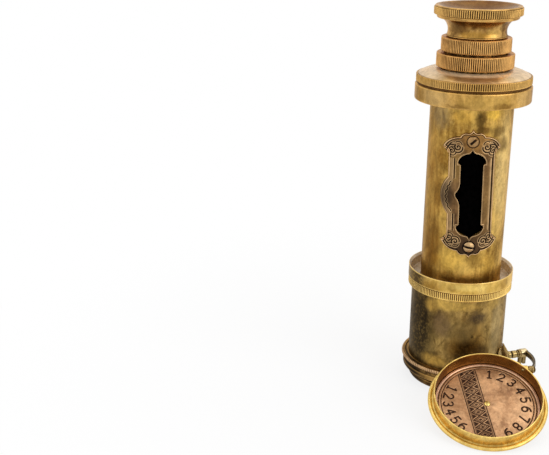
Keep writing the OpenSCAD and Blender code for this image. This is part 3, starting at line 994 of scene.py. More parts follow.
FLANGE_STAINS = (
    StainOrLight((2.0, -19.6, 128.8), 4.5, (150, 100, 50), 0.6, (2.6, 1.0, 0.6)),
    StainOrLight((-16.0, -15.5, 121.5), 7.0, (184, 152, 98), 0.7, (1.0, 1.0, 0.8)),
    StainOrLight((4.0, -22.0, 120.5), 6.0, (190, 152, 74), 0.6, (2.0, 1.0, 0.6)),
    StainOrLight((18.0, -13.0, 121.5), 6.0, (206, 170, 108), 0.6, (0.8, 1.0, 1.0)),
    StainOrLight((9.0, -20.0, 119.4), 2.6, (104, 70, 24), 0.7, (2.5, 1.0, 0.5)),
    StainOrLight((-8.0, -20.8, 119.0), 2.4, (112, 78, 28), 0.6, (3.0, 1.0, 0.4)),
    StainOrLight((-17.5, -7.0, 128.6), 3.5, (110, 76, 40), 0.6),
    StainOrLight((-20.5, -5.0, 128.2), 2.0, (96, 62, 36), 0.7, (1.0, 1.5, 1.0)),
)
CUP_STAINS_AND_SHADE = (
    # Dark over the left side: painted shade and a painted reflection.
    StainOrLight((-19.5, -8.5, 46.0), 12.0, (34, 10, 5), 0.95, (0.66, 1.0, 1.0)),
    StainOrLight((-12.5, -17.0, 45.2), 4.8, (138, 98, 30), 0.75, (1.2, 1.0, 0.7)),
    StainOrLight((-4.5, -20.6, 46.5), 2.0, (132, 94, 26), 0.7, (1.2, 1.0, 0.9)),
    StainOrLight((2.5, -20.9, 47.2), 3.6, (246, 212, 120), 0.7, (2.4, 1.0, 0.5)),
    StainOrLight((16.0, -13.6, 47.0), 3.4, (146, 106, 44), 0.6, (0.8, 1.0, 0.8)),
)
FOOT_SHADE_AND_HIGHLIGHT = (
    # Dark over the left side: painted shade and a painted reflection.
    StainOrLight((-19.5, -8.5, 5.0), 12.5, (10, 5, 2), 0.94, (0.8, 1.0, 1.2)),
    # A pale band on the front of the torus: a painted highlight.
    StainOrLight((-7.5, -20.2, 5.6), 6.0, (186, 144, 78), 0.75, (1.4, 1.0, 0.25)),
)
EYECUP_STAINS = (
    StainOrLight((-8.0, -9.5, 146.5), 5.0, (84, 52, 16), 0.8, (1.0, 1.0, 0.9)),
    StainOrLight((2.0, -12.5, 147.5), 4.0, (102, 64, 18), 0.75, (2.0, 1.0, 0.5)),
    StainOrLight((6.0, -11.0, 144.5), 2.8, (196, 158, 80), 0.8, (1.3, 1.0, 0.6)),
    StainOrLight((9.0, -9.0, 147.0), 2.2, (58, 32, 8), 0.8, (0.7, 1.0, 1.4)),
    StainOrLight((-2.0, -11.5, 143.8), 4.0, (170, 126, 48), 0.7, (2.0, 1.0, 0.4)),
)
PLATE_STAINS = (
    StainOrLight((0.9, -16.9, 106.0), 6.5, (176, 128, 66), 0.6),
    StainOrLight((-0.5, -16.9, 62.0), 6.5, (66, 48, 36), 0.7, (1.3, 1.0, 0.8)),
    StainOrLight((7.4, -15.0, 82.0), 6.0, (150, 116, 66), 0.55, (0.6, 1.0, 2.2)),
    StainOrLight((-6.2, -15.6, 95.0), 4.0, (148, 116, 60), 0.55, (0.8, 1.0, 1.6)),
    StainOrLight((-9.6, -13.6, 84.0), 4.5, (92, 76, 56), 0.7, (0.8, 1.0, 1.6)),
)
# Dark rings on the draw tubes where the collars' gaps lie: painted shadow lines, which show as dark lines
# when the draws are pulled out.
DRAW_SHADOW_LINES = tuple(
    StainOrLight((0.0, 0.0, height), 1.0, (34, 20, 6), 1.0, (30.0, 30.0, 0.75)) for height in (130.5, 136.5, 142.3)
)


def finishes() -> dict[str, bpy.types.Material]:
    """Every finish, by the record's material slot.

    Returns:
        The material of each slot.
    """
    recipes = (
        AgedBrass(
            "shade_brass", light=(174, 142, 80), body=(126, 98, 50), dark=(88, 66, 30), patina=(28, 18, 6),
            tarnish=0.6, rough=0.36, cloud=85, seed=3.1, streaks=0.15, speckle=0.45,
            stains_and_light=SHADE_TUBE_STAINS_AND_LIGHT, grain=0.3,
        ),
        AgedBrass(
            "foot_brass", light=(168, 128, 70), body=(58, 36, 12), dark=(28, 15, 4), patina=(9, 4, 1),
            tarnish=0.6, cloud=70, seed=1.2, stains_and_light=FOOT_SHADE_AND_HIGHLIGHT, tint=(206, 168, 128),
        ),
        AgedBrass(
            "cup_brass", light=(240, 202, 118), body=(208, 168, 82), dark=(150, 108, 46), patina=(84, 44, 22),
            tarnish=0.25, rough=0.26, cloud=60, seed=5.4, streaks=0.1, stains_and_light=CUP_STAINS_AND_SHADE,
            tint=(206, 190, 168), tint_metal=0.2,
        ),
        # Its tint is the painted highlight on the link's knuckle.
        AgedBrass(
            "hinge_brass", light=(176, 150, 98), body=(116, 90, 50), dark=(62, 44, 18), patina=(14, 8, 4),
            tarnish=0.35, rough=0.2, cloud=90, seed=2.2, speckle=0.1, tint=(232, 212, 168), grain=0.12,
        ),
        AgedBrass(
            "barrel_brass", light=(216, 174, 88), body=(136, 98, 36), dark=(98, 64, 18), patina=(36, 20, 5),
            tarnish=0.42, rough=0.34, cloud=48, seed=7.7, streaks=0.6, speckle=0.35,
            stains_and_light=BARREL_STAINS_AND_LIGHT, grain=0.3,
        ),
        # Its tint is the painted highlight on the flange's dome.
        AgedBrass(
            "flange_brass", light=(216, 170, 94), body=(150, 112, 48), dark=(104, 70, 26),
            patina=(78, 44, 16), tarnish=0.35, cloud=60, seed=4.0, streaks=0.25, speckle=0.3,
            stains_and_light=FLANGE_STAINS, tint=(250, 224, 186), grain=0.24, tint_metal=0.4,
        ),
        AgedBrass(
            "plate_bronze", light=(128, 96, 60), body=(94, 68, 40), dark=(56, 36, 26), patina=(18, 7, 7),
            tarnish=0.45, rough=0.36, cloud=150, seed=6.1, stains_and_light=PLATE_STAINS, tint=(236, 196, 142),
            grain=0.25,
        ),
        AgedBrass(
            "draw_brass", light=(220, 184, 110), body=(180, 142, 72), dark=(132, 94, 42), patina=(50, 32, 12),
            tarnish=0.25, rough=0.22, cloud=60, seed=8.3, stains_and_light=DRAW_SHADOW_LINES,
        ),
        AgedBrass(
            "collar_brass", light=(228, 174, 102), body=(140, 94, 42), dark=(84, 48, 16), patina=(24, 10, 2),
            tarnish=0.5, rough=0.32, cloud=90, seed=9.1,
        ),
        AgedBrass(
            "eyecup_brass", light=(218, 172, 98), body=(104, 64, 20), dark=(68, 38, 9), patina=(18, 8, 2),
            tarnish=0.45, rough=0.27, cloud=80, seed=2.9, stains_and_light=EYECUP_STAINS, tint=(98, 50, 4),
        ),
        AgedBrass(
            "fitting_brass", light=(176, 150, 96), body=(140, 112, 64), dark=(74, 50, 20), patina=(30, 20, 8),
            tarnish=0.5, rough=0.4, cloud=80, seed=1.9,
        ),
        BlackLining("blackened"),
        AgedBrass(
            "cap_brass", light=(236, 202, 118), body=(200, 162, 78), dark=(156, 120, 50), patina=(58, 34, 10),
            tarnish=0.3, rough=0.28, cloud=70, seed=4.7, tint=(106, 58, 18),
        ),
        AgedBrass(
            "cap_copper", light=(208, 164, 122), body=(164, 122, 86), dark=(122, 84, 60), patina=(36, 16, 12),
            tarnish=0.35, rough=0.38, cloud=75, seed=0.7, tint=(218, 176, 150),
        ),
        CoatedGlass("lens_glass"),
    )
    return {recipe.name: recipe.material() for recipe in recipes}


# The bench: materials, the frame and the pieces that were added


@dataclass
class Bench:
    """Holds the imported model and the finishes, and puts finished pieces on their bodies."""

    frame: dict
    materials: dict[str, bpy.types.Material]
    pieces: list[str] = field(default_factory=list)

    def dress_nodes(self) -> None:
        """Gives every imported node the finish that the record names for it."""
        for part in self.frame["record"]["subparts"]:
            node = self.frame["nodes"][part["node"]]
            node.data.materials.clear()
            node.data.materials.append(self.materials[part["material_slot"]])
            log.info("node %s in %s", part["node"], part["material_slot"])

    def add(
        self, name: str, grids: Sequence[Grid], body: str, slot: str, replaces: Sequence[str],
        place: Matrix | None = None,
    ) -> bpy.types.Object:
        """Makes a piece, gives it its finish and lets it ride on its body.

        Args:
            name: The piece's name.
            grids: Its surfaces.
            body: The body that it moves with.
            slot: The record's material slot.
            replaces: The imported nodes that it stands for.
            place: Where it goes, in millimetres.

        Returns:
            The piece.
        """
        piece = make_object(name, grids, place)
        piece.data.materials.append(self.materials[slot])
        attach(piece, body)
        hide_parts(*replaces)
        self.pieces.append(name)
        log.info("piece %s on %s, %d faces", name, body, len(piece.data.polygons))
        return piece


# Sub-assemblies


@dataclass
class Foot:
    """The turned foot ring: a beaded spigot for the cap, a torus, and a ledge with a roped edge."""

    mouth: float = 15.6
    spigot: float = 19.0
    land: float = 5.4
    torus: float = 21.5
    ledge: float = 22.2
    top: float = 9.9
    bore: float = 19.42
    strands: int = 132
    rope: float = 0.65

    def profile(self) -> np.ndarray:
        """The ring's section, from the mouth's lower edge outwards and back down inside.

        Returns:
            The closed profile.
        """
        edge = self.top - 2 * self.rope
        return rounded([
            Corner(self.mouth, 0.0, 0.3), Corner(18.1, 0.0, 0.15), Corner(self.spigot - 0.5, 0.25, 0.5),
            Corner(self.spigot, 1.0, 1.0), Corner(self.spigot, 2.4, 0.9), Corner(18.1, 3.15, 0.1),
            Corner(18.1, 4.15, 0.1), Corner(20.6, 4.15, 0.5), Corner(self.torus, 4.6, 0.9),
            Corner(self.torus, 6.3, 0.9), Corner(20.95, 6.75, 0.2), Corner(20.75, 7.6, 1.2),
            Corner(21.0, edge, 0.15), Corner(self.ledge, edge, self.rope),
            Corner(self.ledge, self.top, self.rope), Corner(20.85, self.top, 0.12),
            Corner(20.75, self.top - 0.3, 0.08), Corner(20.3, self.top - 0.3, 0.1),
            Corner(self.bore, self.top - 0.1, 0.05), Corner(self.bore, self.land, 0.05),
            Corner(self.mouth, self.land, 0.1),
        ])

    def roped(self, radius: np.ndarray, height: np.ndarray, turn: np.ndarray) -> Pair:
        """Twists the ledge's edge into strands, whose phase runs round the ring and round the edge's section.

        Args:
            radius: The radius of each point.
            height: Its height.
            turn: Its angle.

        Returns:
            The change of radius and the wear to add.
        """
        middle = self.top - self.rope
        around = np.arctan2(height - middle, radius - (self.ledge - self.rope))
        ridge = np.abs(np.cos(0.5 * (self.strands * turn + 1.6 * around))) ** 0.8
        start = self.ledge - self.rope
        inside = smooth_step(start - 0.1, start + 0.2, radius) * (height > 8.4)
        return -0.38 * (1 - ridge) * inside, (2.2 * ridge - 1.4) * inside

    def build(self, bench: Bench) -> None:
        """Adds the ring.

        Args:
            bench: Where the pieces go.
        """
        ring = turned(self.profile(), self.strands * 5, self.roped)
        edge = np.hypot(ring.points[..., 0], ring.points[..., 1]) > self.ledge - self.rope
        ring.tint = np.clip(ring.wear, 0, 1) * edge * (ring.points[..., 2] > self.top - 2 * self.rope - 0.1)
        bench.add("foot_ring", [ring], "shade_body", "foot_brass", ["base_ring", "mouth_ring"])


@dataclass
class Cup:
    """The open cup round the barrel: a coarse milled ring under a plain polished band."""

    bore: float = 16.17
    inside: float = 20.0
    low: float = 41.0
    split: float = 44.15
    floor: float = 44.7
    top: float = 49.1
    outer: float = 21.05
    spigot: float = 18.48
    spigot_low: float = 38.0
    teeth: int = 160

    def build(self, bench: Bench) -> None:
        """Adds the cup.

        Args:
            bench: Where the pieces go.
        """
        edge = self.outer - 0.1
        line = rounded([
            Corner(self.bore, self.spigot_low, 0.05), Corner(self.spigot, self.spigot_low, 0.1),
            Corner(self.spigot, self.low, 0.03), Corner(edge, self.low, 0.45),
            Corner(edge, self.split - 0.12, 0.25), Corner(self.outer - 0.45, self.split - 0.1, 0.05),
            Corner(self.outer - 0.45, self.split + 0.12, 0.05), Corner(self.outer, self.split + 0.15, 0.18),
            Corner(self.outer - 0.05, self.top - 0.4, 0.3), Corner(self.outer, self.top - 0.3, 0.15),
            Corner(self.outer - 0.05, self.top, 0.12), Corner(self.outer - 0.35, self.top, 0.1),
            Corner(self.inside, self.top - 0.9, 0.4), Corner(self.inside, self.floor, 0.4),
            Corner(self.bore, self.floor, 0.05),
        ])
        milling = Milling(self.low + 0.5, self.split - 0.1, self.teeth, 0.42, self.outer)
        ring = turned(line, milling.columns(), milling)
        inside = (line[:, 0] < self.outer - 0.2) & (line[:, 1] > self.floor - 0.02)
        flat = line[:, 1] < self.floor + 0.3
        ring.tint = inside[:, None] * (1 - 0.9 * flat[:, None] * facing(milling.columns(), 0.3, 0.75))
        ring.wear = np.where(inside[:, None], np.clip(ring.wear, -0.05, 0.2), ring.wear)
        bench.add("cup_ring", [ring], "shade_body", "cup_brass", ["cup_collar"])


@dataclass
class Flange:
    """The barrel's upper flange: an open skirt, and a screwed cover with a milled edge and a low dome."""

    barrel: float = 16.12
    skirt: float = 22.4
    low: float = 118.2
    shelf: float = 122.6
    seam: float = 124.7
    bore: float = 13.3
    disc: float = 22.1
    disc_low: float = 125.1
    disc_high: float = 127.9
    dome: float = 130.1
    flat: float = 14.0
    teeth: int = 165

    def skirt_line(self) -> np.ndarray:
        """The skirt's section: a thin wall open below, closed by a shelf against the barrel.

        Returns:
            The closed profile.
        """
        return rounded([
            Corner(self.skirt - 1.1, self.low, 0.15), Corner(self.skirt - 0.1, self.low, 0.25),
            Corner(self.skirt, self.low + 0.5, 0.3), Corner(self.skirt, self.seam - 0.75, 0.3),
            Corner(self.skirt - 0.7, self.seam - 0.35, 0.15), Corner(21.6, self.seam - 0.3, 0.08),
            Corner(21.6, self.seam, 0.03), Corner(self.barrel, self.seam, 0.03),
            Corner(self.barrel, self.shelf, 0.05), Corner(self.skirt - 1.1, self.shelf, 0.5),
        ])

    def cover_line(self) -> np.ndarray:
        """The cover's section: neck, milled disc and a dome whose arc is level at its flat top.

        Returns:
            The closed profile.
        """
        rise, reach = self.dome - self.disc_high - 0.1, 21.3 - self.flat
        radius = (reach * reach + rise * rise) / (2 * rise)
        start = math.degrees(math.asin((radius - rise) / radius))
        crown = arc((self.flat, self.dome - radius), radius, start, 90, 12)
        return rounded([
            Corner(self.bore, self.seam, 0.03), Corner(21.5, self.seam, 0.03),
            Corner(21.5, self.disc_low - 0.1, 0.05), Corner(self.disc, self.disc_low, 0.2),
            Corner(self.disc, self.disc_high, 0.3), Corner(21.4, self.disc_high, 0.06),
            *[Corner(r, z, 0.0) for r, z in crown], Corner(self.bore, self.dome, 0.15),
        ])

    def build(self, bench: Bench) -> None:
        """Adds the skirt and the cover.

        Args:
            bench: Where the pieces go.
        """
        line = self.skirt_line()
        skirt = turned(line, 360)
        skirt.wear = np.where((line[:, 1] > self.seam - 0.38)[:, None], -0.7, skirt.wear)
        bench.add("flange_skirt", [skirt], "barrel_body", "flange_brass", ["flange_cup"])
        milling = Milling(self.disc_low + 0.1, self.disc_high - 0.1, self.teeth, 0.5, self.disc, uneven=0.05)
        line = self.cover_line()
        cover = turned(line, milling.columns(), milling)
        dome = (line[:, 1] > self.disc_high - 0.02) * (line[:, 0] < 21.4)
        # The dome is tinted pale: a painted highlight, less so on its outer edge on the front.
        worn = smooth_step(17.2, 18.8, line[:, 0])[:, None] * facing(milling.columns(), 0.45, 1.0)
        cover.tint = 0.85 * dome[:, None] * (1 - 0.8 * worn)
        cover.wear = np.where((line[:, 1] < self.disc_low - 0.02)[:, None], -0.7, cover.wear)
        bench.add("flange_dome", [cover], "barrel_body", "flange_brass", ["flange_cover"])


@dataclass
class DrawCollar:
    """A milled collar on a draw's upper end, with a socket for its tube below and a lip above."""

    name: str
    node: str
    body: str
    outer: float
    low: float
    high: float
    tube: float
    lip: float
    teeth: int
    depth: float
    worn_top: float

    def relief(self, milling: Milling) -> Relief:
        """The milling, worn away towards the top by handling.

        Args:
            milling: The teeth as they were cut.

        Returns:
            The relief of the worn teeth.
        """

        def worn(radius: np.ndarray, height: np.ndarray, turn: np.ndarray) -> Pair:
            """The teeth's relief, less of it towards the top.

            Args:
                radius: The radius of each point.
                height: Its height.
                turn: Its angle.

            Returns:
                The change of radius and the wear to add.
            """
            change, wear = milling(radius, height, turn)
            left = 1 - self.worn_top * smooth_step(self.low + 1.5, self.high - 1.2, height)
            return change * left, wear * left

        return worn

    def build(self, bench: Bench) -> None:
        """Adds the collar.

        Args:
            bench: Where the pieces go.
        """
        line = rounded([
            Corner(self.tube, self.low, 0.05), Corner(self.outer - 0.2, self.low, 0.2),
            Corner(self.outer, self.low + 0.3, 0.2), Corner(self.outer, self.high - 0.25, 0.2),
            Corner(self.outer - 0.25, self.high, 0.25), Corner(self.lip, self.high, 0.2),
            Corner(self.lip, self.high - 1.0, 0.05), Corner(self.tube, self.high - 1.0, 0.05),
        ], reach=1.0)
        milling = Milling(self.low + 0.1, self.high - 0.3, self.teeth, self.depth, self.outer, uneven=0.15)
        collar = turned(line, milling.columns(), self.relief(milling))
        bench.add(self.name, [collar], self.body, "collar_brass", [self.node])


@dataclass
class Eyecup:
    """The flared eyecup: a waisted neck, a bead, a milled band and a rolled rim round a shallow dish."""

    low: float = 142.4
    waist: float = 11.1
    flare: float = 4.9
    flare_z: float = 144.6
    bead: float = 15.5
    bead_z: tuple[float, float] = (149.1, 150.4)
    band: float = 16.65
    band_top: float = 153.3
    top: float = 153.9
    rim: float = 0.85
    dish: float = 42.0
    dish_low: float = 151.3
    hole: float = 3.2
    socket: float = 10.62
    socket_top: float = 144.4
    cell: float = 10.0
    cell_top: float = 150.3
    teeth: int = 124

    def build(self, bench: Bench) -> None:
        """Adds the eyecup.

        Args:
            bench: Where the pieces go.
        """
        flare = arc((self.waist + self.flare, self.flare_z), self.flare, 205, 112, 16)
        dish = arc((0.0, self.dish_low + self.dish), self.dish, -69.75, -85.6, 12)
        low, high = self.bead_z
        line = rounded([
            Corner(self.socket, self.low, 0.05), Corner(11.6, self.low, 0.12),
            Corner(11.62, self.low + 0.5, 0.1), *[Corner(r, z, 0.0) for r, z in flare],
            Corner(14.2, low, 0.06), Corner(self.bead, low, 0.6),
            Corner(self.bead, high, 0.5), Corner(15.1, high, 0.05), Corner(15.2, high + 0.12, 0.05),
            Corner(self.band, high + 0.15, 0.22), Corner(self.band, self.band_top, 0.18),
            Corner(16.3, self.band_top + 0.05, 0.06), Corner(16.2, self.top, self.rim),
            Corner(14.9, self.top, 0.35), *[Corner(r, z, 0.0) for r, z in dish[1:]],
            Corner(self.hole, self.dish_low + 0.12, 0.15),
            Corner(self.hole, self.cell_top, 0.1), Corner(self.cell, self.cell_top, 0.05),
            Corner(self.cell, self.socket_top, 0.03), Corner(self.socket, self.socket_top, 0.05),
        ])
        milling = Milling(high + 0.1, self.band_top, self.teeth, 0.55, self.band, uneven=0.0)
        body = turned(line, milling.columns(), milling)
        inside = (line[:, 0] < 14.7) & (line[:, 1] > self.dish_low - 0.2)
        body.tint = inside.astype(float)[:, None]
        bench.add("eyecup_flare", [body], "eyepiece_body", "eyecup_brass", ["eyecup"])


@dataclass
class Plate:
    """The bronze plate round the sight window: a scalloped outline, polished rims and engraved scrolls.

    It is drawn flat, as width and height from its middle, and laid on the barrel's front.
    """

    barrel: float = 16.12
    middle: Place = (0.25, 0.0, 83.9)
    lean: float = 1.6
    thick: float = 0.8
    side: float = 8.7
    window: float = 4.4
    step: float = 5.5
    sunk: float = -0.5
    pitch: float = 0.108
    edge: float = 1.3
    screw_at: float = 21.1
    screw_r: float = 2.1

    def flipped(self, quarter: Sequence[Pair], across: float, down: float) -> list[Pair]:
        """A quarter's stretches mirrored, and in reverse order where the mirror turns their direction round.

        Args:
            quarter: The pairs of stretches.
            across: -1 where the quarter is mirrored from right to left, else 1.
            down: -1 where it is mirrored from top to bottom, else 1.

        Returns:
            The mirrored pairs.
        """
        mirrored = [(a * (across, down), b * (across, down)) for a, b in quarter]
        if across * down > 0:
            return mirrored
        return [(a[::-1], b[::-1]) for a, b in mirrored[::-1]]

    def stretches(self) -> list[Pair]:
        """The matching stretches of the plate's edge and the window's edge.

        Returns:
            The pairs in turn, from the top point clockwise.
        """
        cheek = through((1.5, 16.6), (4.2, 15.4), (self.step, 12.9), 20)
        shoulder = np.array([[self.step, 12.0], [self.window, 12.0]])
        tip = [
            (through((0, 26.1), (0.55, 24.9), (1.7, 24.25)), through((0, 18.5), (0.5, 17.3), (1.5, 16.6))),
            (through((1.7, 24.25), (3.2, 24.35), (4.75, 22.9)), cheek[:11]),
            (through((4.75, 22.9), (8.2, 21.9), (10.8, 18.7)), chain(cheek[10:], shoulder[:1])),
            (through((10.8, 18.7), (9.3, 18.0), (self.side, 16)), shoulder),
        ]

        def straight(across: float, ends: Spot, inner_ends: Spot) -> Pair:
            """The upright stretches of both edges on one side, between the given heights."""
            outer = np.array([[across * self.side, end] for end in ends])
            return outer, np.array([[across * self.window, end] for end in inner_ends])

        right = [straight(1, (16, 0), (12, 0))]
        left = [straight(1, (16, 6.9), (12, 5))]
        reach = math.degrees(math.atan2(7.5, 9.5))
        lobe = arc((0.8, -0.6), 12.1, 180 + reach, 180 - reach, 30)
        notch = chain(
            through((-4.4, -5), (-4.75, -2.9), (-5.6, -1.3)), through((-5.6, -1.3), (-6.1, 0), (-5.6, 1.3)),
            through((-5.6, 1.3), (-4.75, 2.9), (-4.4, 5)),
        )
        return [
            *self.flipped(tip + right, 1, 1), *self.flipped(tip + right, 1, -1), *self.flipped(tip, -1, -1),
            straight(-1, (-16, -8.1), (-12, -5)), (lobe, notch), *self.flipped(tip + left, -1, 1),
        ]

    def laid(self, flat: np.ndarray, height: np.ndarray) -> np.ndarray:
        """Lays flat points on the barrel: turned by the lean, then pushed back to their own radius.

        Args:
            flat: The points across and up from the plate's middle.
            height: Each point's height over the barrel.

        Returns:
            The points on the barrel.
        """
        c, k = math.cos(math.radians(self.lean)), math.sin(math.radians(self.lean))
        x = self.middle[0] + flat[..., 0] * c - flat[..., 1] * k
        z = self.middle[2] + flat[..., 0] * k + flat[..., 1] * c
        return np.stack([x, -np.sqrt((self.barrel + height) ** 2 - x * x), z], -1)

    def strokes(self) -> list[Stroke]:
        """The engraved scrolls at the four corners, the leaf on the lobe and the points' middle lines.

        Returns:
            The strokes.
        """
        turn = np.linspace(0, 1, 40)
        spiral = np.stack([np.cos(turn * 7.4), np.sin(turn * 7.4)], -1) * (0.2 + 1.2 * turn)[:, None]
        corner = [
            Stroke(spiral + (-1.3, 0.1), 0.24),
            Stroke(spiral * (-0.85, 0.85) + (1.5, -0.35), 0.22),
            Stroke(through((-2.9, -0.6), (-1.3, -2.0), (0.4, -1.4)), 0.24),
            Stroke(through((-0.2, 1.5), (1.3, 2.0), (2.9, 0.9)), 0.24),
            Stroke(through((0.0, 0.7), (0.9, 1.2), (1.9, 0.8)), 0.13),
            Stroke(through((-3.0, 0.4), (-2.7, 1.9), (-1.3, 2.3)), 0.18),
            Stroke(through((-0.9, 2.5), (0.3, 2.7), (1.3, 2.4)), 0.14),
            Stroke(through((0.5, -1.9), (1.7, -2.3), (2.8, -1.6)), 0.17),
            Stroke(through((3.0, -1.2), (3.5, -0.2), (3.2, 0.7)), 0.16),
        ]
        out: list[Stroke] = []
        for across, up in ((1, 1), (1, -1), (-1, 1), (-1, -1)):
            shift = (6.5 * across, 18.3 * up)
            out += [one.moved(-24 * across * up, shift, 0.95, (across, up)) for one in corner]
        for side in (1, -1):
            point = through((1.0 * side, 20.2), (0.35 * side, 21.3), (0.25 * side, 22.9))
            out += [Stroke(point, 0.11), Stroke(point * (1, -1), 0.11)]
        along = np.linspace(-6.0, 6.0, 70)
        leaf = np.stack([0.22 * np.sin(along * 3.1) - 9.4 + 0.055 * along ** 2, along - 0.6], -1)
        return [*out, Stroke(leaf, 0.16)]

    def edges(self) -> tuple[np.ndarray, np.ndarray]:
        """Matching points along the window's edge and the plate's edge, about one pitch apart.

        Returns:
            The window's points, which stand a little inside the plate's own opening, and the plate's points.
        """
        pairs = self.stretches()
        lengths = [np.linalg.norm(np.diff(a, axis=0), axis=1).sum() for a, _ in pairs]
        counts = [max(int(length / self.pitch), 4) for length in lengths]
        outer = np.concatenate([spread(a, n) for (a, _), n in zip(pairs, counts)])
        inner = np.concatenate([spread(b, n) for (_, b), n in zip(pairs, counts)])
        return inner * (1 - 0.12 / self.window, 1 - 0.12 / 18.5), outer

    def lattice(self, inner: np.ndarray, outer: np.ndarray) -> np.ndarray:
        """Rows from the window's edge to the plate's edge, close together near both.

        Args:
            inner: The window's points.
            outer: The plate's points.

        Returns:
            The flat grid's points.
        """
        near = np.minimum(self.edge / np.linalg.norm(outer - inner, axis=1), 0.32)[None]
        ramp = np.linspace(0, 1, 14)[:, None] ** 1.15
        between = near + np.linspace(0, 1, 32)[1:-1, None] * (1 - 2 * near)
        share = np.concatenate([ramp * near, between, 1 - (ramp * near)[::-1]])
        return inner[None] + share[..., None] * (outer - inner)[None]

    def relief(self, flat: np.ndarray) -> tuple[np.ndarray, np.ndarray, np.ndarray]:
        """Works out rims, lines and engraving at each point from its distances to the two edges.

        Args:
            flat: The flat grid's points.

        Returns:
            The height over the barrel, the wear and the tint of each point.
        """
        spots, shape = flat.reshape(-1, 2), flat.shape[:2]
        pairs = self.stretches()
        out = nearest(spots, chain(*[a for a, _ in pairs]), True).reshape(shape)
        win = nearest(spots, chain(*[b for _, b in pairs]), True).reshape(shape)
        strokes = self.strokes()
        cut = engraved(spots, strokes).reshape(shape)
        wider = [Stroke(one.line, one.half + 0.26) for one in strokes]
        near_cut = engraved(spots, wider, 0.14).reshape(shape)
        x, z = flat[..., 0], flat[..., 1]
        lobe = hump(np.hypot(x + 9.3, (z + 0.6) * 0.5), 3.2, 4)
        low_tip = (1 - smooth_step(-17.0, -14.0, z)) * 0.9
        rim = smooth_step(0.0, 0.12, out) * (1 - smooth_step(0.36, 0.5, out)) * (1 - 0.8 * lobe)
        lip = smooth_step(0.0, 0.08, win) * (1 - smooth_step(0.12, 0.22, win))
        straight = 1 - smooth_step(14.2, 15.0, np.abs(z))
        right, left = straight * (x > 0), straight * (x < 0) * (np.abs(z + 0.6) > 7.0)
        dark_line = right * hump(out - 0.95, 0.26, 4) + left * hump(out - 2.15, 0.2, 4)
        pale_line = right * hump(out - 1.45, 0.14) + left * (hump(out - 1.75, 0.13) + hump(out - 2.6, 0.13))
        warm = smooth_step(0.5, 0.8, out) * (1 - smooth_step(1.7, 2.3, out)) * straight
        ditch = hump(out - 0.62, 0.15) * (1 - straight)
        seat = np.hypot(x, np.abs(z) - self.screw_at)
        line = dark_line + ditch + hump(seat - self.screw_r - 0.15, 0.26)
        height = self.thick - 0.35 * (1 - smooth_step(0, 0.4, out)) ** 2 + 0.14 * rim + 0.16 * lip
        height = height - 0.2 * line - 0.25 * cut
        wear = 0.5 * rim + 0.5 * lip - 0.9 * line - 1.3 * cut - 0.48 * lobe
        wear = wear - 0.44 * low_tip * (1 - rim) * (1 - near_cut)
        fill = np.clip(near_cut - 1.6 * cut, 0, 1)
        tint = rim + 0.8 * lip + 0.6 * pale_line + 0.3 * warm + 0.62 * fill - line
        return height, np.clip(wear, -1, 1), np.clip(tint, 0, 1)

    def build(self, bench: Bench) -> None:
        """Adds the plate and its screws: the plate's rows run over its top, down its edge and back under it.

        Args:
            bench: Where the pieces go.
        """
        inner, outer = self.edges()
        flat = self.lattice(inner, outer)
        height, wear, tint = self.relief(flat)
        columns = len(inner)
        window_side = np.array([[self.sunk], [-0.2], [0.25]])
        outer_side = np.array([[0.1], [-0.12]])
        share = np.array([0.8, 0.6, 0.4, 0.2])[:, None, None]
        under = np.array([[-0.3], [-0.35], [-0.35], [-0.4]])
        full_flat = np.concatenate([
            np.broadcast_to(inner, (3, columns, 2)), flat, np.broadcast_to(outer, (2, columns, 2)),
            inner[None] + share * (outer - inner)[None],
        ])
        full_height = np.concatenate([
            np.broadcast_to(window_side, (3, columns)), height, np.broadcast_to(outer_side, (2, columns)),
            np.broadcast_to(under, (4, columns)),
        ])
        full_wear = np.concatenate([np.full((3, columns), -0.3), wear, np.full((6, columns), -0.5)])
        full_tint = np.concatenate([np.zeros((3, columns)), tint, np.zeros((6, columns))])
        points = self.laid(full_flat, full_height)
        grid = Grid(points, full_wear, full_tint, wrap_rows=True, wrap_columns=True)
        bench.add("sight_plate", [grid], "barrel_body", "plate_bronze", ["window_plate"])
        screws = [self.screw(self.screw_at, 42, 0.45, 0.3), self.screw(-self.screw_at, -14, 0.42, 0.75)]
        bench.add("sight_screws", screws, "barrel_body", "plate_bronze", ["plate_screws"])

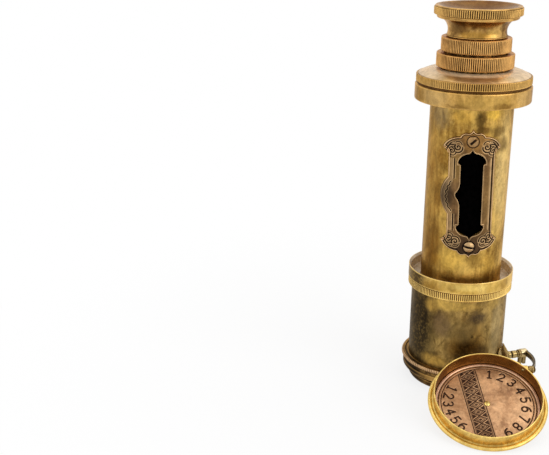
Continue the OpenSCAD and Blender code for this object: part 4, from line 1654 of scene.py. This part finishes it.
    def screw(self, z: float, slot_turn: float, slot_half: float, bright: float) -> Grid:
        """A screw: a low dome with a worn slot over a shank, as a polar grid on the plate.

        Args:
            z: Its height from the plate's middle.
            slot_turn: The slot's turn in degrees.
            slot_half: Half of the slot's width.
            bright: The tint of its worn metal.

        Returns:
            The screw's grid.
        """
        bend = self.screw_r - 0.25 * (1 - np.sin(np.linspace(0.2, 1.5708, 6)))
        radius = np.concatenate([np.linspace(0, self.screw_r - 0.25, 22), bend])
        turn = np.linspace(0, FULL_TURN, 96, endpoint=False)
        r, t = np.meshgrid(radius, turn, indexing="ij")
        flat = np.stack([r * np.cos(t), r * np.sin(t)], -1)
        lean = math.radians(slot_turn)
        across = np.abs(-flat[..., 0] * math.sin(lean) + flat[..., 1] * math.cos(lean))
        slot = 1 - smooth_step(slot_half - 0.06, slot_half + 0.06, across)
        edge = smooth_step(self.screw_r - 0.3, self.screw_r, r)
        height = self.thick + 0.1 + 0.55 * (1 - (r / self.screw_r) ** 2) - 0.12 * edge - 0.42 * slot
        wear = 0.4 - 2.2 * slot + 0.3 * hump(across - slot_half - 0.2, 0.12)
        seat = self.thick - 0.15
        low = np.array([[self.screw_r, seat], [0.95, seat], [0.95, 0.05], [0.0, 0.05]])
        under = np.stack([np.cos(turn), np.sin(turn)], -1)[None] * low[:, :1, None]
        full = np.concatenate([flat, under]) + (0.0, z)
        full_height = np.concatenate([height, np.broadcast_to(low[:, 1:], (4, len(turn)))])
        full_wear = np.concatenate([np.clip(wear, -1, 1), np.full((4, len(turn)), -0.5)])
        tint = bright * (full_wear > 0)
        points = self.laid(full, full_height)
        return Grid(points, full_wear, tint, wrap_columns=True, pole_first=True, pole_last=True)


def moved_by(joint: dict, degrees: float) -> Matrix:
    """A turn about a joint's axis.

    Args:
        joint: The joint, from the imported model.
        degrees: The turn.

    Returns:
        The turn about the joint's place, in millimetres.
    """
    at = Vector(joint["pos_m"]) / MILLIMETRE
    turn = Matrix.Rotation(math.radians(degrees), 4, Vector(joint["axis"]))
    return Matrix.Translation(at) @ turn @ Matrix.Translation(-at)


def heading(degrees: float, dip: float = 0.0) -> np.ndarray:
    """The direction at an angle round the Z axis, dipping below the level by another angle in degrees."""
    turn, down = math.radians(degrees), math.radians(dip)
    return np.array([math.cos(turn) * math.cos(down), math.sin(turn) * math.cos(down), -math.sin(down)])


@dataclass
class Hinge:
    """The cap's hinge: a bracket with two pointed ears on the foot's ledge, and the forked link.

    The link is drawn as it lies when the cap is closed.
    """

    pin_dir: float = 22.0
    low_pin: Place = (5.443, 21.832, 1.05)
    low_dir: float = 40.5
    low_dip: float = 1.7
    bore: float = 0.76
    knuckle: float = 1.9
    ends: tuple[float, float] = (-2.7, 1.5)
    eye: float = 1.5
    leg: float = 4.6
    bow: float = 2.2
    strap: tuple[float, float] = (1.0, 2.2)
    tube: float = 19.42
    ledge: float = 9.5
    leaf_at: float = -30.0
    fin_at: float = -11.4
    bulge_at: float = 40.0

    def ears(self) -> list[Grid]:
        """A leaf that lies on the tube and a fin that stands on it, both pointed at the top.

        Returns:
            The leaf and the fin.
        """
        rise = np.linspace(0, 1, 26)
        out, along = heading(self.leaf_at), heading(self.leaf_at + 90)
        path = out * (self.tube + 0.6) + UP * (self.ledge + 7.4 * rise)[:, None]
        leaf = swept(path, along, out, 2.3 * (1 - rise ** 2.2) + 0.15, 0.55 - 0.25 * rise, -0.2)
        out, along = heading(self.fin_at), heading(self.fin_at + 90)
        wide = np.interp(rise, [0, 0.42, 1], [1.45, 1.4, 0.2])
        path = out * (self.tube + 0.05 + wide)[:, None] + UP * (self.ledge + 6.6 * rise)[:, None]
        return [leaf, swept(path, out, along, wide, 0.5 - 0.2 * rise, 0.1)]

    def bracket(self, at: np.ndarray) -> list[Grid]:
        """The bracket's boss with a turned groove, and its ears.

        Args:
            at: The upper pin's middle.

        Returns:
            The boss, the leaf and the fin.
        """
        line = rounded([
            Corner(0.71, -7.6, 0.05), Corner(1.6, -7.6, 0.3), Corner(1.6, -6.3, 0.15),
            Corner(1.25, -6.15, 0.05), Corner(1.25, -5.6, 0.05), Corner(1.6, -5.45, 0.15),
            Corner(1.6, -3.75, 0.2), Corner(1.35, -3.6, 0.05), Corner(1.35, -3.3, 0.05),
            Corner(1.5, -3.2, 0.1), Corner(1.5, -2.9, 0.12), Corner(0.71, -2.9, 0.05),
        ])
        return [aimed(turned(line, 72), at, heading(self.pin_dir)), *self.ears()]

    def upper_eye(self, at: np.ndarray) -> Grid:
        """The link's upper eye: a round knuckle with a groove beside its blackened end.

        Args:
            at: The upper pin's middle.

        Returns:
            The eye.
        """
        low, high = self.ends
        line = rounded([
            Corner(self.bore, low, 0.05), Corner(self.knuckle - 0.1, low, 0.7),
            Corner(self.knuckle - 0.1, low + 0.8, 0.1), Corner(1.6, low + 0.9, 0.04),
            Corner(1.6, low + 1.05, 0.04), Corner(self.knuckle, low + 1.2, 0.15),
            Corner(self.knuckle, high, 1.0), Corner(self.bore, high, 0.05),
        ])
        eye = turned(line, 96)
        eye.wear = np.where(line[:, 1] < low + 1.0, -0.27, 0.6)[:, None] * np.ones_like(eye.wear)
        eye = aimed(eye, at, heading(self.pin_dir))
        # The side of the knuckle below the pin here, which is its top when the cap is open, is tinted pale: a
        # painted highlight.
        eye.tint = smooth_step(-0.6, 0.9, at[2] - eye.points[..., 2]) * (eye.wear > 0)
        return eye

    def strap_bar(self, at: np.ndarray, low_axis: np.ndarray) -> Grid:
        """The bowed strap: a flat bar along an arc of a circle that bulges away from the foot.

        Args:
            at: The upper pin's middle.
            low_axis: The lower pin's direction.

        Returns:
            The strap.
        """
        start = at + 1.1 * heading(self.pin_dir)
        chord = np.array(self.low_pin) + 0.2 * low_axis - start
        long = float(np.linalg.norm(chord))
        along = chord / long
        bulge = heading(self.bulge_at)
        bulge = bulge - (bulge @ along) * along
        bulge = bulge / np.linalg.norm(bulge)
        radius = (long * long / 4 + self.bow ** 2) / (2 * self.bow)
        half = math.asin(long / 2 / radius)
        angle = np.linspace(-half * 0.925, half * 0.95, 60)[:, None]
        out = bulge * np.cos(angle) + along * np.sin(angle)
        path = start + chord / 2 - (radius - self.bow) * bulge + radius * out
        thick, wide = self.strap
        taper = 1.1 - 0.2 * np.linspace(0, 1, 60)
        return swept(path, np.cross(bulge, along), out, wide / 2 * taper, np.full(60, thick / 2), -0.95)

    def link(self, at: np.ndarray) -> list[Grid]:
        """The link's upper eye, its two legs, the strap and the lower eye.

        Args:
            at: The upper pin's middle.

        Returns:
            The link's surfaces, as it lies when the cap is closed.
        """
        axis, across = heading(self.pin_dir), heading(self.pin_dir + 90)
        low_axis = heading(self.low_dir, self.low_dip)
        down = np.linspace(1.15, self.leg, 12)[:, None] * UP
        legs = [
            swept(at + axis * middle + down, axis, across, np.full(12, half), np.full(12, 0.95), -0.4)
            for middle, half in ((0.425, 0.775), (-1.4, 0.55))
        ]
        line = rounded([
            Corner(self.bore, -1.0, 0.05), Corner(self.eye, -1.0, 0.4), Corner(self.eye, 1.0, 0.4),
            Corner(self.bore, 1.0, 0.05),
        ])
        lower_eye = aimed(turned(line, 72), np.array(self.low_pin), low_axis)
        return [self.upper_eye(at), *legs, self.strap_bar(at, low_axis), lower_eye]

    def build(self, bench: Bench, pin: Sequence[float], place: Matrix) -> None:
        """Adds the bracket, and the link in its open place.

        Args:
            bench: Where the pieces go.
            pin: The upper pin's middle in metres.
            place: The link's turn from the closed place to the open one.
        """
        at = np.array(pin) / MILLIMETRE
        bench.add("bracket_ears", self.bracket(at), "shade_body", "hinge_brass", ["hinge_bracket"])
        bench.add("forked_link", self.link(at), "link_body", "hinge_brass", ["cap_link"], place)


@dataclass
class Cap:
    """The hinged lens cap, drawn closed: a shallow cup with a beaded edge and a boss for its pin."""

    rim: float = 3.0
    bore: float = 20.0
    outer: float = 20.5
    depth: float = 6.5
    bead: float = 0.8
    boss: float = 1.6
    boss_out: float = -1.2
    pin_r: float = 22.5
    pin_at: float = 76.0
    pin_z: float = 1.05
    pin_dir: float = 40.5
    pin_dip: float = 1.7

    def line(self) -> np.ndarray:
        """The cap's section: rim, inner wall, floor with its stud hole, foot steps, web and bead.

        Returns:
            The closed profile.
        """
        floor = self.rim - self.depth
        bead = arc((self.outer + 1.3, self.rim - 5.15), self.bead, -145, 145, 16)
        return rounded([
            Corner(self.bore, self.rim, 0.18), Corner(self.bore, floor, 0.25), Corner(0.6, floor, 0.05),
            Corner(0.6, floor - 0.9, 0.05), Corner(18.3, floor - 0.9, 0.25), Corner(18.45, floor - 0.62, 0.1),
            Corner(19.5, floor - 0.6, 0.4), Corner(self.outer, self.rim - 5.85, 0.3),
            Corner(self.outer + 0.5, self.rim - 5.6, 0.1),
            *[Corner(r, z, 0.0) for r, z in bead], Corner(self.outer + 0.5, self.rim - 4.7, 0.12),
            Corner(self.outer - 0.02, self.rim - 4.55, 0.12), Corner(self.outer, self.rim, 0.22),
        ])

    def pin_boss(self) -> Grid:
        """The pin's boss: a round stub along the pin's axis, which starts inside the wall.

        Each line along the axis starts where it meets a cylinder just inside the cap's outer radius, at the
        larger root of a quadratic equation.

        Returns:
            The boss.
        """
        pin = self.pin_r * heading(self.pin_at) + self.pin_z * UP
        along, side = heading(self.pin_dir, self.pin_dip), heading(self.pin_dir + 90)
        edge = arc((self.boss - 0.35, self.boss_out - 0.35), 0.35, 0, 90, 6)
        half = self.boss * 0.5
        radius = np.concatenate([[0, half, self.boss, self.boss, self.boss], edge[:, 0], [half, 0]])
        turn = np.linspace(0, FULL_TURN, 48, endpoint=False)[None, :, None]
        base = pin + radius[:, None, None] * (np.cos(turn) * side + np.sin(turn) * np.cross(along, side))
        b = (base[..., :2] * along[:2]).sum(-1)
        c = (base[..., :2] ** 2).sum(-1) - (self.outer - 0.25) ** 2
        square = (along[:2] ** 2).sum()
        start = (-b + np.sqrt(np.maximum(b * b - square * c, 0))) / square
        start = np.minimum(start, self.boss_out - 0.6)
        beyond = np.concatenate([edge[:, 1], [self.boss_out] * 2])
        reach = np.concatenate([start[:3], start[2:3], start[2:3], np.broadcast_to(beyond[:, None], (8, 48))])
        for row, share in ((3, 0.6), (4, 0.1)):
            reach[row] = start[2] * share + (self.boss_out - 0.35) * (1 - share)
        wear = np.where(np.arange(len(radius)) > 4, 0.4, -0.1)[:, None]
        points = base + reach[..., None] * along
        return Grid(points, wear, wrap_columns=True, pole_first=True, pole_last=True)

    def build(self, bench: Bench, place: Matrix) -> None:
        """Adds the cap in its open place.

        Args:
            bench: Where the pieces go.
            place: The cap's turn from the closed place to the open one.
        """
        line = self.line()
        body = turned(line, 400)
        inner = (line[:, 0] <= self.bore + 0.02) & (line[:, 1] > self.rim - self.depth - 0.1)
        web = (line[:, 0] > self.outer - 0.1) & (line[:, 0] < self.outer + 1.0)
        web &= (line[:, 1] > self.rim - 5.2) & (line[:, 1] < self.rim - 1.0)
        body.tint = (inner * smooth_step(0.1, 0.6, self.rim - line[:, 1]))[:, None]
        body.wear = np.where(web[:, None], np.maximum(body.wear, -0.3), body.wear)
        bench.add("cap_bowl", [body, self.pin_boss()], "cap_body", "cap_brass", ["cap_shell"], place)


@dataclass
class Disc:
    """The copper dial in the cap: a raised lip, two rings, a band of lozenges and two rows of numbers."""

    hole: float = 0.6
    outer: float = 19.85
    low: float = -3.5
    top: float = -3.0
    lip: float = 18.95
    rings: tuple[float, float] = (17.55, 18.6)
    band: tuple[float, float] = (-7.75, -0.74)
    band_lines: tuple[float, float] = (-7.2, -1.3)
    band_at: float = 46.6
    lozenge: float = 3.5
    digit_r: float = 14.8
    digit_high: float = 3.7
    columns: int = 700

    def digit(self, which: int) -> list[np.ndarray]:
        """A digit's strokes, one unit high about its middle.

        Args:
            which: The digit.

        Returns:
            Its lines.
        """
        six = [arc((0, -0.2), 0.29, 0, 360, 22), arc((0.25, -0.1), 0.55, 180, 100, 10)]
        shapes: dict[int, list[np.ndarray]] = {
            1: [np.array([[0, -0.5], [0, 0.5], [-0.18, 0.33]]), np.array([[-0.18, -0.5], [0.18, -0.5]])],
            2: [chain(arc((0, 0.22), 0.28, 170, -40, 14), np.array([[-0.3, -0.5], [0.3, -0.5]]))],
            3: [chain(arc((-0.02, 0.25), 0.25, 150, -90, 14), arc((-0.02, -0.23), 0.27, 90, -150, 14))],
            4: [np.array([[0.12, -0.5], [0.12, 0.5], [-0.3, -0.15], [0.3, -0.15]])],
            5: [np.array([[0.25, 0.5], [-0.18, 0.5], [-0.22, 0.08]]), arc((0, -0.18), 0.3, 125, -145, 16)],
            6: six,
            7: [np.array([[-0.28, 0.5], [0.28, 0.5], [-0.08, -0.5]])],
            8: [arc((0, 0.25), 0.23, 0, 360, 18), arc((0, -0.23), 0.27, 0, 360, 20)],
            9: [-stroke for stroke in six],
        }
        return shapes[which]

    def numbers(self) -> list[Stroke]:
        """The digits 1 to 9 with their tops outwards, and 1 to 6 with their tops inwards.

        Returns:
            The strokes, laid out round the dial.
        """
        rows = [(n, 119.5 - 18.2 * (n - 1), -90.0) for n in range(1, 10)]
        rows += [(n, -171 + 15.2 * (n - 1), 90.0) for n in range(1, 7)]
        out = []
        for which, at, lean in rows:
            spot = (self.digit_r * math.cos(math.radians(at)), self.digit_r * math.sin(math.radians(at)))
            out += [Stroke(line, 0.085).moved(at + lean, spot, self.digit_high) for line in self.digit(which)]
        return out

    def rows(self) -> np.ndarray:
        """Radii of the top's rows, close together under the digits and the rings."""
        middle, digits = np.linspace(self.hole, 12.4, 54), np.linspace(12.4, 17.2, 48)
        return np.concatenate([middle[:-1], digits[:-1], np.linspace(17.2, self.outer - 0.12, 30)])

    def engraving(self, r: np.ndarray, flat: np.ndarray) -> tuple[np.ndarray, np.ndarray]:
        """Works out the cuts of the digits, the rings, the band's lines and the lozenges.

        Args:
            r: Each point's distance from the middle.
            flat: Each point's place.

        Returns:
            How deep each point is cut, and 1 where it lies in the band.
        """
        cut = engraved(flat.reshape(-1, 2), self.numbers(), 0.07).reshape(r.shape)
        for ring in self.rings:
            cut = np.maximum(cut, hump(r - ring, 0.16))
        normal = math.radians(self.band_at)
        across = flat[..., 0] * math.cos(normal) + flat[..., 1] * math.sin(normal)
        down = -flat[..., 0] * math.sin(normal) + flat[..., 1] * math.cos(normal)
        within = 1 - smooth_step(self.rings[0] - 0.2, self.rings[0], r)
        for offset in self.band:
            cut = np.maximum(cut, hump(across - offset, 0.2) * within)
        for offset in self.band_lines:
            cut = np.maximum(cut, 0.75 * hump(across - offset, 0.13) * within)
        off_middle = np.abs(across - sum(self.band) / 2)
        along = np.abs((down / self.lozenge + 0.5) % 1 - 0.5) * self.lozenge
        far = along / (0.5 * self.lozenge) + off_middle / 2.7
        inlay = np.maximum(hump(far - 0.95, 0.13, 4), 1 - smooth_step(0.22, 0.34, far))
        inlay = np.maximum(inlay, 0.7 * hump(far - 0.58, 0.07))
        inlay = np.maximum(inlay, 0.62 * smooth_step(1.32, 1.42, far))
        panel = within * (off_middle < 2.75)
        return np.maximum(cut, inlay * panel), panel

    def build(self, bench: Bench, place: Matrix) -> None:
        """Adds the dial and its stud in their open place.

        Args:
            bench: Where the pieces go.
            place: The cap's turn from the closed place to the open one.
        """
        turn = np.linspace(0, FULL_TURN, self.columns, endpoint=False)
        r, t = np.meshgrid(self.rows(), turn, indexing="ij")
        flat = np.stack([r * np.cos(t), r * np.sin(t)], -1)
        cut, panel = self.engraving(r, flat)
        lip = smooth_step(self.lip - 0.1, self.lip + 0.15, r)
        height = self.top - 0.14 * cut + 0.25 * lip
        wear = np.clip(0.95 * lip - 1.1 * cut - 0.25 * panel, -1, 1)
        low = self.low
        edge = [(self.outer, self.top + 0.1), (self.outer, low), (self.outer - 6, low), (self.hole, low)]
        spoke = np.stack([np.cos(turn), np.sin(turn)], -1)
        under = [np.concatenate([spoke * far, np.full((self.columns, 1), z)], -1) for far, z in edge]
        points = np.concatenate([np.concatenate([flat, height[..., None]], -1), np.stack(under)])
        none = np.zeros((len(edge), self.columns))
        full_wear, tint = np.concatenate([wear, none]), np.concatenate([lip, none])
        dial = Grid(points, full_wear, tint, wrap_rows=True, wrap_columns=True)
        bench.add("cap_dial", [dial], "cap_body", "cap_copper", ["cap_disc"], place)
        bench.add("dial_stud", [self.stud()], "cap_body", "cap_brass", ["cap_stud"], place)

    def stud(self) -> Grid:
        """The rivet in the dial's middle: a hammered dome with a dirty edge over a shank that fits the hole.

        Returns:
            The rivet.
        """
        head = [(0.0, 0.66), (0.3, 0.63), (0.6, 0.56), (0.85, 0.44), (1.05, 0.29), (1.2, 0.12)]
        head += [(1.25, 0.03), (0.5, 0.02)]
        shank = [(0.54, self.low - 0.3), (0.0, self.low - 0.3)]
        line = np.array([(radius, self.top + rise) for radius, rise in head] + shank)
        wear = np.array([0.1, -0.5, 0.2, 0.5, 0.4, -0.3, -1.0, -1.0, -0.6, -0.6])
        grid = domed(line, 64, wear)
        x, y, z = (grid.points[..., k] for k in range(3))
        dent = hump(np.hypot(x - 0.35, y + 0.2) - 0.5, 0.12)
        grid.wear = np.clip(grid.wear - 0.8 * dent + 0.1 * np.sin(3 * np.arctan2(y, x)), -1, 1)
        grid.points[..., 2] -= 0.06 * dent * (z > self.top + 0.1)
        return grid


# The studio


@dataclass
class Studio:
    """A plain white sweep, soft lamps and the camera of the photograph."""

    camera_at: Place = (-40.3, -380.9, 195.7)
    pitch: float = 19.22
    heading: float = 5.5
    roll: float = 0.21
    lens: float = 64.196
    floor_half: float = 6.0
    floor_gap: float = 0.00002
    shadow_reach: tuple[float, float] = (0.07, 0.22)
    shadow_fade: float = 0.8
    room: float = 0.62

    def camera(self) -> None:
        """Places the camera, which looks along +Y, turned by its heading, its pitch and its small roll."""
        data = bpy.data.cameras.new("camera")
        data.lens = self.lens
        data.sensor_width = 36.0
        data.clip_start = 0.01
        obj = bpy.data.objects.new("camera", data)
        bpy.context.scene.collection.objects.link(obj)
        turn = Euler((math.radians(90 - self.pitch), 0, math.radians(self.heading))).to_matrix().to_4x4()
        turn = turn @ Matrix.Rotation(math.radians(self.roll), 4, "Z")
        obj.matrix_world = Matrix.Translation(Vector(self.camera_at) * MILLIMETRE) @ turn
        bpy.context.scene.camera = obj

    def seen(self, tree: bpy.types.NodeTree) -> Socket:
        """Tells camera, glossy and transmission rays, which see plain white, from the others.

        Args:
            tree: The material's or the world's nodes.

        Returns:
            The socket of 1 for those rays and 0 for the others.
        """
        path = tree.nodes.new("ShaderNodeLightPath")
        value = path.outputs["Is Camera Ray"]
        for kind in ("Is Glossy Ray", "Is Transmission Ray"):
            most = tree.nodes.new("ShaderNodeMath")
            most.operation = "MAXIMUM"
            tree.links.new(value, most.inputs[0])
            tree.links.new(path.outputs[kind], most.inputs[1])
            value = most.outputs[0]
        return value

    def floor(self) -> None:
        """Lays a white floor just under the object, with its shadow close by and plain white beyond."""
        half = self.floor_half
        mesh = bpy.data.meshes.new("floor")
        corners = [(-half, -half), (half, -half), (half, half), (-half, half)]
        mesh.from_pydata([(x, y, 0) for x, y in corners], [], [(0, 1, 2, 3)])
        mesh.transform(Matrix.Translation((0, 0, -self.floor_gap)))
        obj = bpy.data.objects.new("floor", mesh)
        bpy.context.scene.collection.objects.link(obj)
        s = Shader("floor_white")
        s.set("Base Color", (0.96, 0.96, 0.96, 1))
        s.set("Roughness", 1.0)
        s.set("Specular IOR Level", 0.0)
        glow = s.tree.nodes.new("ShaderNodeEmission")
        glow.inputs["Color"].default_value = (1, 1, 1, 1)
        glow.inputs["Strength"].default_value = 1.0
        away = s.vector("DISTANCE", s.place, (0, 0, 0), result="Value")
        beyond = s.between(away, *self.shadow_reach, self.shadow_fade, 1.0)
        both = s.tree.nodes.new("ShaderNodeMixShader")
        s.link(s.math("MULTIPLY", beyond, self.seen(s.tree)), both.inputs["Fac"])
        s.link(s.surface.outputs[0], both.inputs[1])
        s.link(glow.outputs[0], both.inputs[2])
        s.link(both.outputs[0], s.tree.nodes["Material Output"].inputs["Surface"])
        mesh.materials.append(s.material)

    def world(self) -> None:
        """Lights the room evenly with dim white, and shows full white to the rays that see the background."""
        world = bpy.data.worlds.new("room")
        bpy.context.scene.world = world
        world.use_nodes = True
        tree = world.node_tree
        tree.nodes.clear()
        output = tree.nodes.new("ShaderNodeOutputWorld")
        lit = tree.nodes.new("ShaderNodeBackground")
        seen = tree.nodes.new("ShaderNodeBackground")
        seen.inputs["Strength"].default_value = 1.0
        seen.inputs["Color"].default_value = (1, 1, 1, 1)
        lit.inputs["Color"].default_value = (1, 1, 1, 1)
        lit.inputs["Strength"].default_value = self.room
        choose = tree.nodes.new("ShaderNodeMixShader")
        tree.links.new(self.seen(tree), choose.inputs["Fac"])
        tree.links.new(lit.outputs[0], choose.inputs[1])
        tree.links.new(seen.outputs[0], choose.inputs[2])
        tree.links.new(choose.outputs[0], output.inputs["Surface"])

    def lamps(self) -> None:
        """Hangs a large soft lamp on each side and one above, aimed at the object's middle."""
        aim = Vector((0, 0, 0.08))
        for name, place, power, width in (
            ("lamp_left", (-0.9, -0.5, 0.7), 1.6, 0.9),
            ("lamp_right", (0.8, -0.6, 0.55), 5.0, 0.9),
            ("lamp_top", (0.1, 0.2, 1.1), 3.0, 1.0),
        ):
            data = bpy.data.lights.new(name, "AREA")
            data.energy = power
            data.size = width
            obj = bpy.data.objects.new(name, data)
            bpy.context.scene.collection.objects.link(obj)
            obj.location = place
            obj.rotation_euler = (aim - Vector(place)).to_track_quat("-Z", "Y").to_euler()

    def build(self) -> None:
        """Sets up the camera, the floor and the light."""
        self.camera()
        self.floor()
        self.world()
        self.lamps()
        bpy.context.scene.view_settings.view_transform = "Standard"


def main() -> None:
    """Builds the studio and every sub-assembly."""
    logging.basicConfig(level=logging.INFO, format="%(name)s %(message)s")
    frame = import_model()
    Studio().build()
    bench = Bench(frame, finishes())
    bench.dress_nodes()
    joints = {joint["name"]: joint for joint in frame["joints"]}
    swung = moved_by(joints["link_swing"], joints["link_swing"]["range_deg"][1])
    closed = swung @ moved_by(joints["cap_turn"], joints["cap_turn"]["range_deg"][0])
    Foot().build(bench)
    Hinge().build(bench, joints["link_swing"]["pos_m"], swung.inverted())
    Cup().build(bench)
    Flange().build(bench)
    DrawCollar(
        "collar_one", "first_collar", "first_draw_body", outer=14.8, low=130.9, high=136.1, tube=13.02,
        lip=12.1, teeth=116, depth=0.45, worn_top=0.05,
    ).build(bench)
    DrawCollar(
        "collar_two", "second_collar", "second_draw_body", outer=13.3, low=136.9, high=142.1, tube=11.82,
        lip=10.9, teeth=107, depth=0.4, worn_top=0.4,
    ).build(bench)
    Eyecup().build(bench)
    Plate().build(bench)
    Cap().build(bench, closed.inverted())
    Disc().build(bench, closed.inverted())
    log.info("%d pieces added", len(bench.pieces))


if __name__ == "__main__":
    main()
